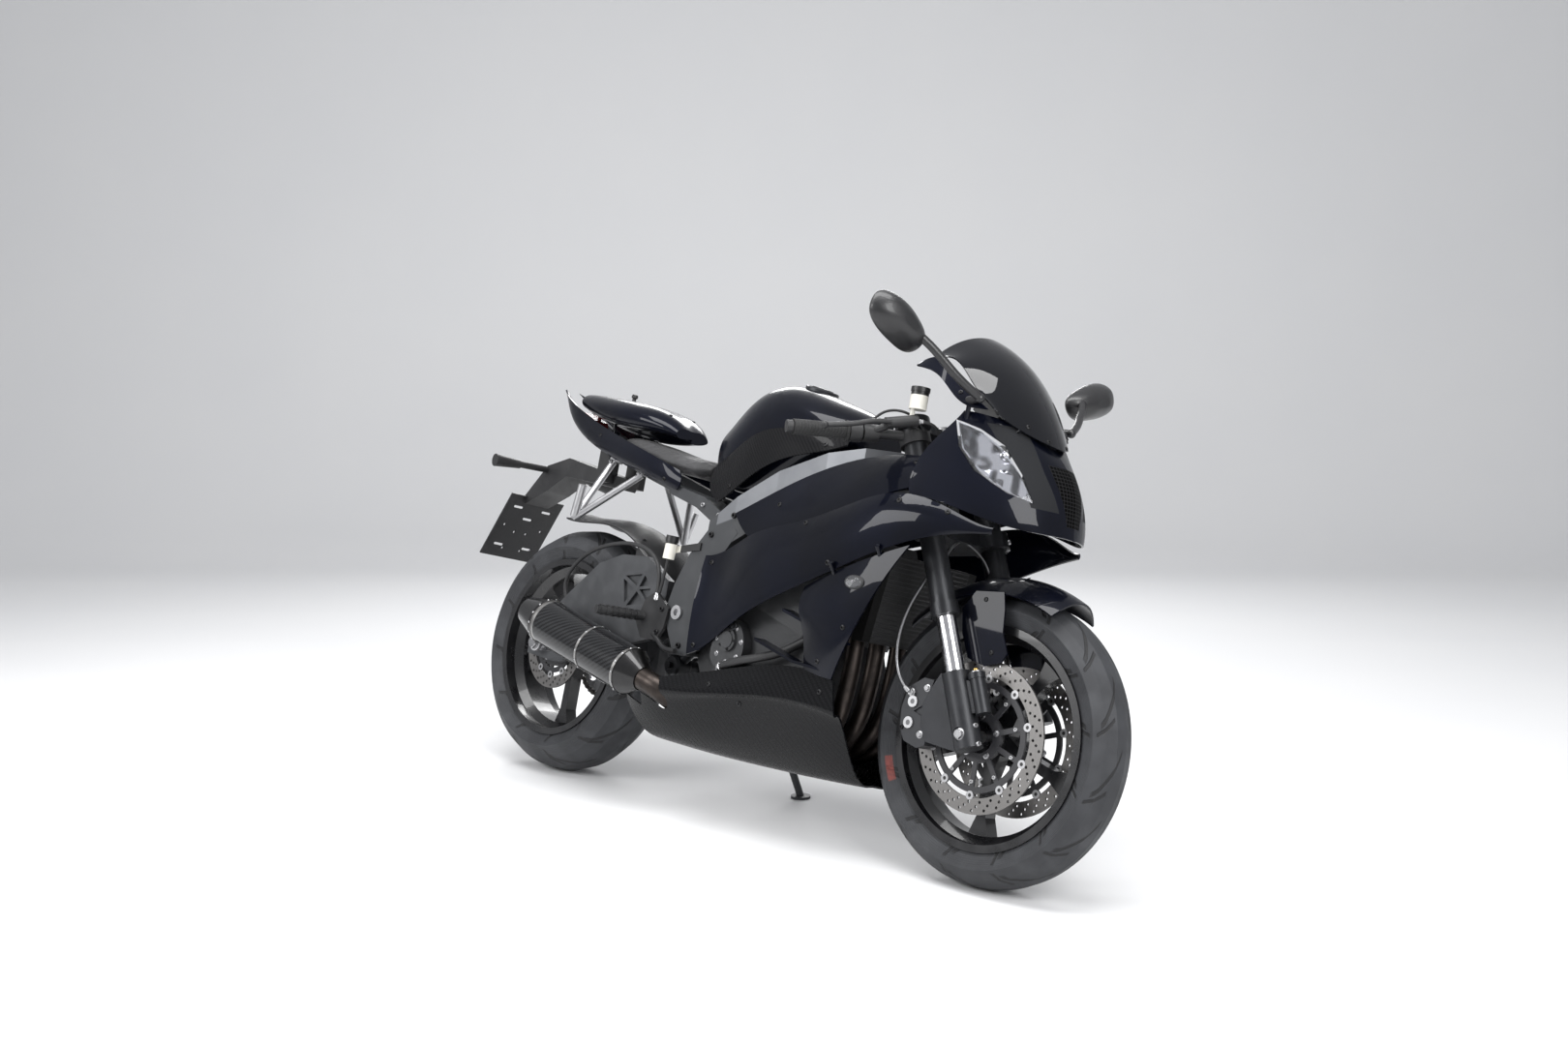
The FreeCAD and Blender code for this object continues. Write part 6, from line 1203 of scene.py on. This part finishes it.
# Turned sleeves where a hose ends: hose, end (first or last), radius, length, finish
hoseEnds = [("frontHoseRight", 0, 0.0052, 0.012, "satinAlloy"), ("frontHoseLeft", 0, 0.0052, 0.012, "satinAlloy"),
            ("pumpHose", 0, 0.0056, 0.014, "satinAlloy"), ("rearHose", 0, 0.0072, 0.016, "satinAlloy"),
            ("rearHose", -1, 0.0072, 0.016, "satinAlloy"), ("throttleCableOne", 0, 0.0046, 0.020, "blackPlastic"),
            ("throttleCableTwo", 0, 0.0046, 0.020, "blackPlastic"), ("coolantHose", 0, 0.0118, 0.010, "bareSteel")]
sleeveLook = {"neck": 0.8, "collar": 0.82, "shoulder": (0.62, 0.70), "inside": 0.002, "sides": 16}


def makeHoseEnds():
    for number, (name, end, radius, length, finish) in enumerate(hoseEnds):
        points = [onBike(*p) for p in hoses[name]["points"]]
        start, towards = (points[0], points[1]) if end == 0 else (points[-1], points[-2])
        neck, collar = radius * sleeveLook["neck"], radius * sleeveLook["collar"]
        low, high = sleeveLook["shoulder"]
        mesh = bmesh.new()
        rings = [(neck, -sleeveLook["inside"]), (radius, 0), (radius, length * low), (collar, length * high),
                 (collar, length)]
        addTurned(mesh, start, towards - start, rings, sleeveLook["sides"])
        keepPiece(name + "End" + str(number), mesh, finish, hoses[name]["body"])


# Rider's seat: foam pad, swollen a little, with two sewn channels
seatLook = {
    "sections": [(0.118, [(0, 0.858), (0.22, 0.858), (0.30, 0.866), (0.21, 0.876), (0, 0.879)]),
                 (0.200, [(0, 0.832), (0.33, 0.834), (0.415, 0.847), (0.32, 0.861), (0, 0.866)]),
                 (0.330, [(0, 0.797), (0.35, 0.798), (0.435, 0.812), (0.32, 0.832), (0, 0.838)]),
                 (0.425, [(0, 0.784), (0.29, 0.786), (0.375, 0.800), (0.27, 0.820), (0, 0.826)]),
                 (0.457, [(0, 0.791), (0.19, 0.793), (0.265, 0.804), (0.19, 0.818), (0, 0.824)])],
    "half": 0.25, "between": 4, "voxel": 0.005, "pressure": 4.0, "frames": 20, "most": 0.004,
    "seam": 0.62, "seamWide": 0.0040, "seamDeep": 0.0018,
}


def seatShell():
    mesh = bmesh.new()
    rings = []
    sections = seatLook["sections"]
    for number in range((len(sections) - 1) * seatLook["between"] + 1):
        at = number / seatLook["between"]
        low = min(int(at), len(sections) - 2)
        t = at - low
        (x1, first), (x2, second) = sections[low], sections[low + 1]
        shape = [((a[0] * (1 - t) + b[0] * t) * seatLook["half"], a[1] * (1 - t) + b[1] * t, 0)
                 for a, b in zip(first, second)]
        whole = shape + [(-y, z, 0) for y, z, none in reversed(shape[1:-1])]
        x = x1 * (1 - t) + x2 * t
        rings.append([mesh.verts.new(onBike(x, p.x, p.y)) for p in smoothLoop(whole, 5)])
    addSkin(mesh, rings)
    return mesh


def puff(piece):
    cloth = piece.modifiers.new("swell", "CLOTH")
    cloth.settings.use_pressure = True
    cloth.settings.uniform_pressure_force = seatLook["pressure"]
    cloth.settings.effector_weights.gravity = 0
    before = [v.co.copy() for v in piece.data.vertices]
    for step in range(seatLook["frames"]):
        bpy.context.scene.frame_set(step + 1)
    shape = piece.evaluated_get(bpy.context.evaluated_depsgraph_get())
    after = [v.co.copy() for v in shape.data.vertices]
    piece.modifiers.remove(cloth)
    bpy.context.scene.frame_set(1)
    for vertex, start, end in zip(piece.data.vertices, before, after):
        move = end - start
        if move.length > seatLook["most"]:
            move = move.normalized() * seatLook["most"]
        vertex.co = start + move


def applyAll(piece):
    shape = piece.evaluated_get(bpy.context.evaluated_depsgraph_get())
    data = bpy.data.meshes.new_from_object(shape)
    piece.modifiers.clear()
    piece.data = data


def sewChannels(piece):
    back = leaned.inverted()
    lift = wayOn(0, 0, 1)
    widths = [(x, max(y for y, z in shape) * seatLook["half"]) for x, shape in seatLook["sections"]]
    for vertex in piece.data.vertices:
        spot = back @ vertex.co
        width = widths[0][1]
        for (x1, w1), (x2, w2) in zip(widths, widths[1:]):
            if x1 <= spot.x <= x2:
                width = w1 + (w2 - w1) * (spot.x - x1) / (x2 - x1)
        gap = abs(abs(spot.y) - width * seatLook["seam"]) / seatLook["seamWide"]
        if gap < 1 and vertex.normal.dot(lift) >= 0.3:  # on the upper side only
            vertex.co -= lift * seatLook["seamDeep"] * (1 - gap * gap)


def makeSeat():
    pad = newPiece("riderPad", seatShell())
    even = pad.modifiers.new("even", "REMESH")
    even.mode = "VOXEL"
    even.voxel_size = seatLook["voxel"]
    applyAll(pad)
    puff(pad)
    finer = pad.modifiers.new("finer", "SUBSURF")
    finer.levels = 1
    applyAll(pad)
    sewChannels(pad)
    dress(pad, "seatVinyl", 60)
    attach(pad, "chassis")
    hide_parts("rider_seat")


for hoseName, hoseLook in hoses.items():
    makeHose(hoseName, hoseLook)
makeHoseEnds()
print("hoses and cables made")
makeScrews()
makeTurnedParts()
print("screws, bolts and caps made")
makePodLenses()
makeMirrorGlass()
makeLampShields()
makeRivets()
makeChain()
makeSpring()
makeLink()
print("lenses, rivets, chain and spring made")
makeSeat()
print("seat made")

# Room
room = {"floor": (0.80, 0.80, 0.80), "patches": (0.76, 0.765, 0.775), "size": 14.0, "wallBehind": 4.5, "bend": 1.6,
        "bendSteps": 14, "faces": 44.9, "sky": (0.86, 0.87, 0.90), "skyPower": 0.55}


def makeRoom():
    mesh = bmesh.new()
    rows = []
    steps, bend, faces = room["bendSteps"], room["bend"], math.radians(room["faces"])
    away = Vector((-math.sin(faces), math.cos(faces), 0))
    side = Vector((away.y, -away.x, 0))
    profile = [(-room["size"] / 2, 0.0), (room["wallBehind"], 0.0)]
    for i in range(1, steps + 1):
        turn = math.pi / 2 * i / steps
        profile.append((room["wallBehind"] + bend * math.sin(turn), bend * (1 - math.cos(turn))))
    profile.append((room["wallBehind"] + bend, room["size"] / 2))
    for out, up in profile:
        rows.append([mesh.verts.new(away * out + side * s + Vector((0, 0, up)))
                     for s in (-room["size"], room["size"])])
    for a, b in zip(rows, rows[1:]):
        mesh.faces.new([a[0], a[1], b[1], b[0]])
    data = bpy.data.meshes.new("studioFloor")
    mesh.to_mesh(data)
    floor = bpy.data.objects.new("studioFloor", data)
    bpy.context.scene.collection.objects.link(floor)
    for face in data.polygons:
        face.use_smooth = True
    paper = Finish("paleFloor", color=room["floor"], rough=0.7)
    paper.set("color", paper.blend(paper.noise(paper.place(), 1.2, 2), room["patches"], room["floor"]))
    data.materials.append(paper.material)
    world = bpy.data.worlds.new("studio")
    world.use_nodes = True
    sky = world.node_tree.nodes["Background"].inputs
    sky["Color"].default_value = (*room["sky"], 1)
    sky["Strength"].default_value = room["skyPower"]
    bpy.context.scene.world = world


# Soft lamps: place, aim, size in metres and power in watts
lamps = {
    "topSoft": {"at": (0.3, -0.6, 3.6), "aim": (0, 0, 0.5), "size": (3.6, 1.4), "power": 130},
    "frontSoft": {"at": (3.6, -1.2, 2.4), "aim": (0.2, -0.1, 0.5), "size": (1.6, 2.2), "power": 95},
    "sideSoft": {"at": (-1.4, -3.6, 2.3), "aim": (-0.1, -0.1, 0.5), "size": (2.4, 1.6), "power": 85},
    "backRim": {"at": (-2.6, 2.8, 2.6), "aim": (0, 0, 0.7), "size": (2.2, 1.0), "power": 60},
}


def makeLamps():
    for name, lamp in lamps.items():
        data = bpy.data.lights.new(name, "AREA")
        data.shape = "RECTANGLE"
        data.size, data.size_y = lamp["size"]
        data.energy = lamp["power"]
        light = bpy.data.objects.new(name, data)
        light.location = lamp["at"]
        light.rotation_euler = (Vector(lamp["aim"]) - Vector(lamp["at"])).to_track_quat("-Z", "Y").to_euler()
        bpy.context.scene.collection.objects.link(light)


# Camera at the photograph's viewing angle, in degrees; from is measured from the bike's origin
camera = {"from": (3.36896, -2.54345, 1.03444), "around": 44.896, "above": 5.2926, "roll": 0.176, "lens": 37.378,
          "sensor": 36.0}


def makeCamera():
    data = bpy.data.cameras.new("camera")
    data.lens = camera["lens"]
    data.sensor_width = camera["sensor"]
    eye = bpy.data.objects.new("camera", data)
    a, e = math.radians(camera["around"]), math.radians(camera["above"])
    back = Vector((math.sin(a) * math.cos(e), -math.cos(a) * math.cos(e), math.sin(e)))
    eye.rotation_euler = ((-back).to_track_quat("-Z", "Y").to_matrix()
                          @ Matrix.Rotation(math.radians(camera["roll"]), 3, "Z")).to_euler()
    eye.location = place + Vector(camera["from"])
    bpy.context.scene.collection.objects.link(eye)
    bpy.context.scene.camera = eye


makeRoom()
makeLamps()
makeCamera()
bpy.context.scene.view_settings.view_transform = "Standard"
print("room, lamps and camera made")
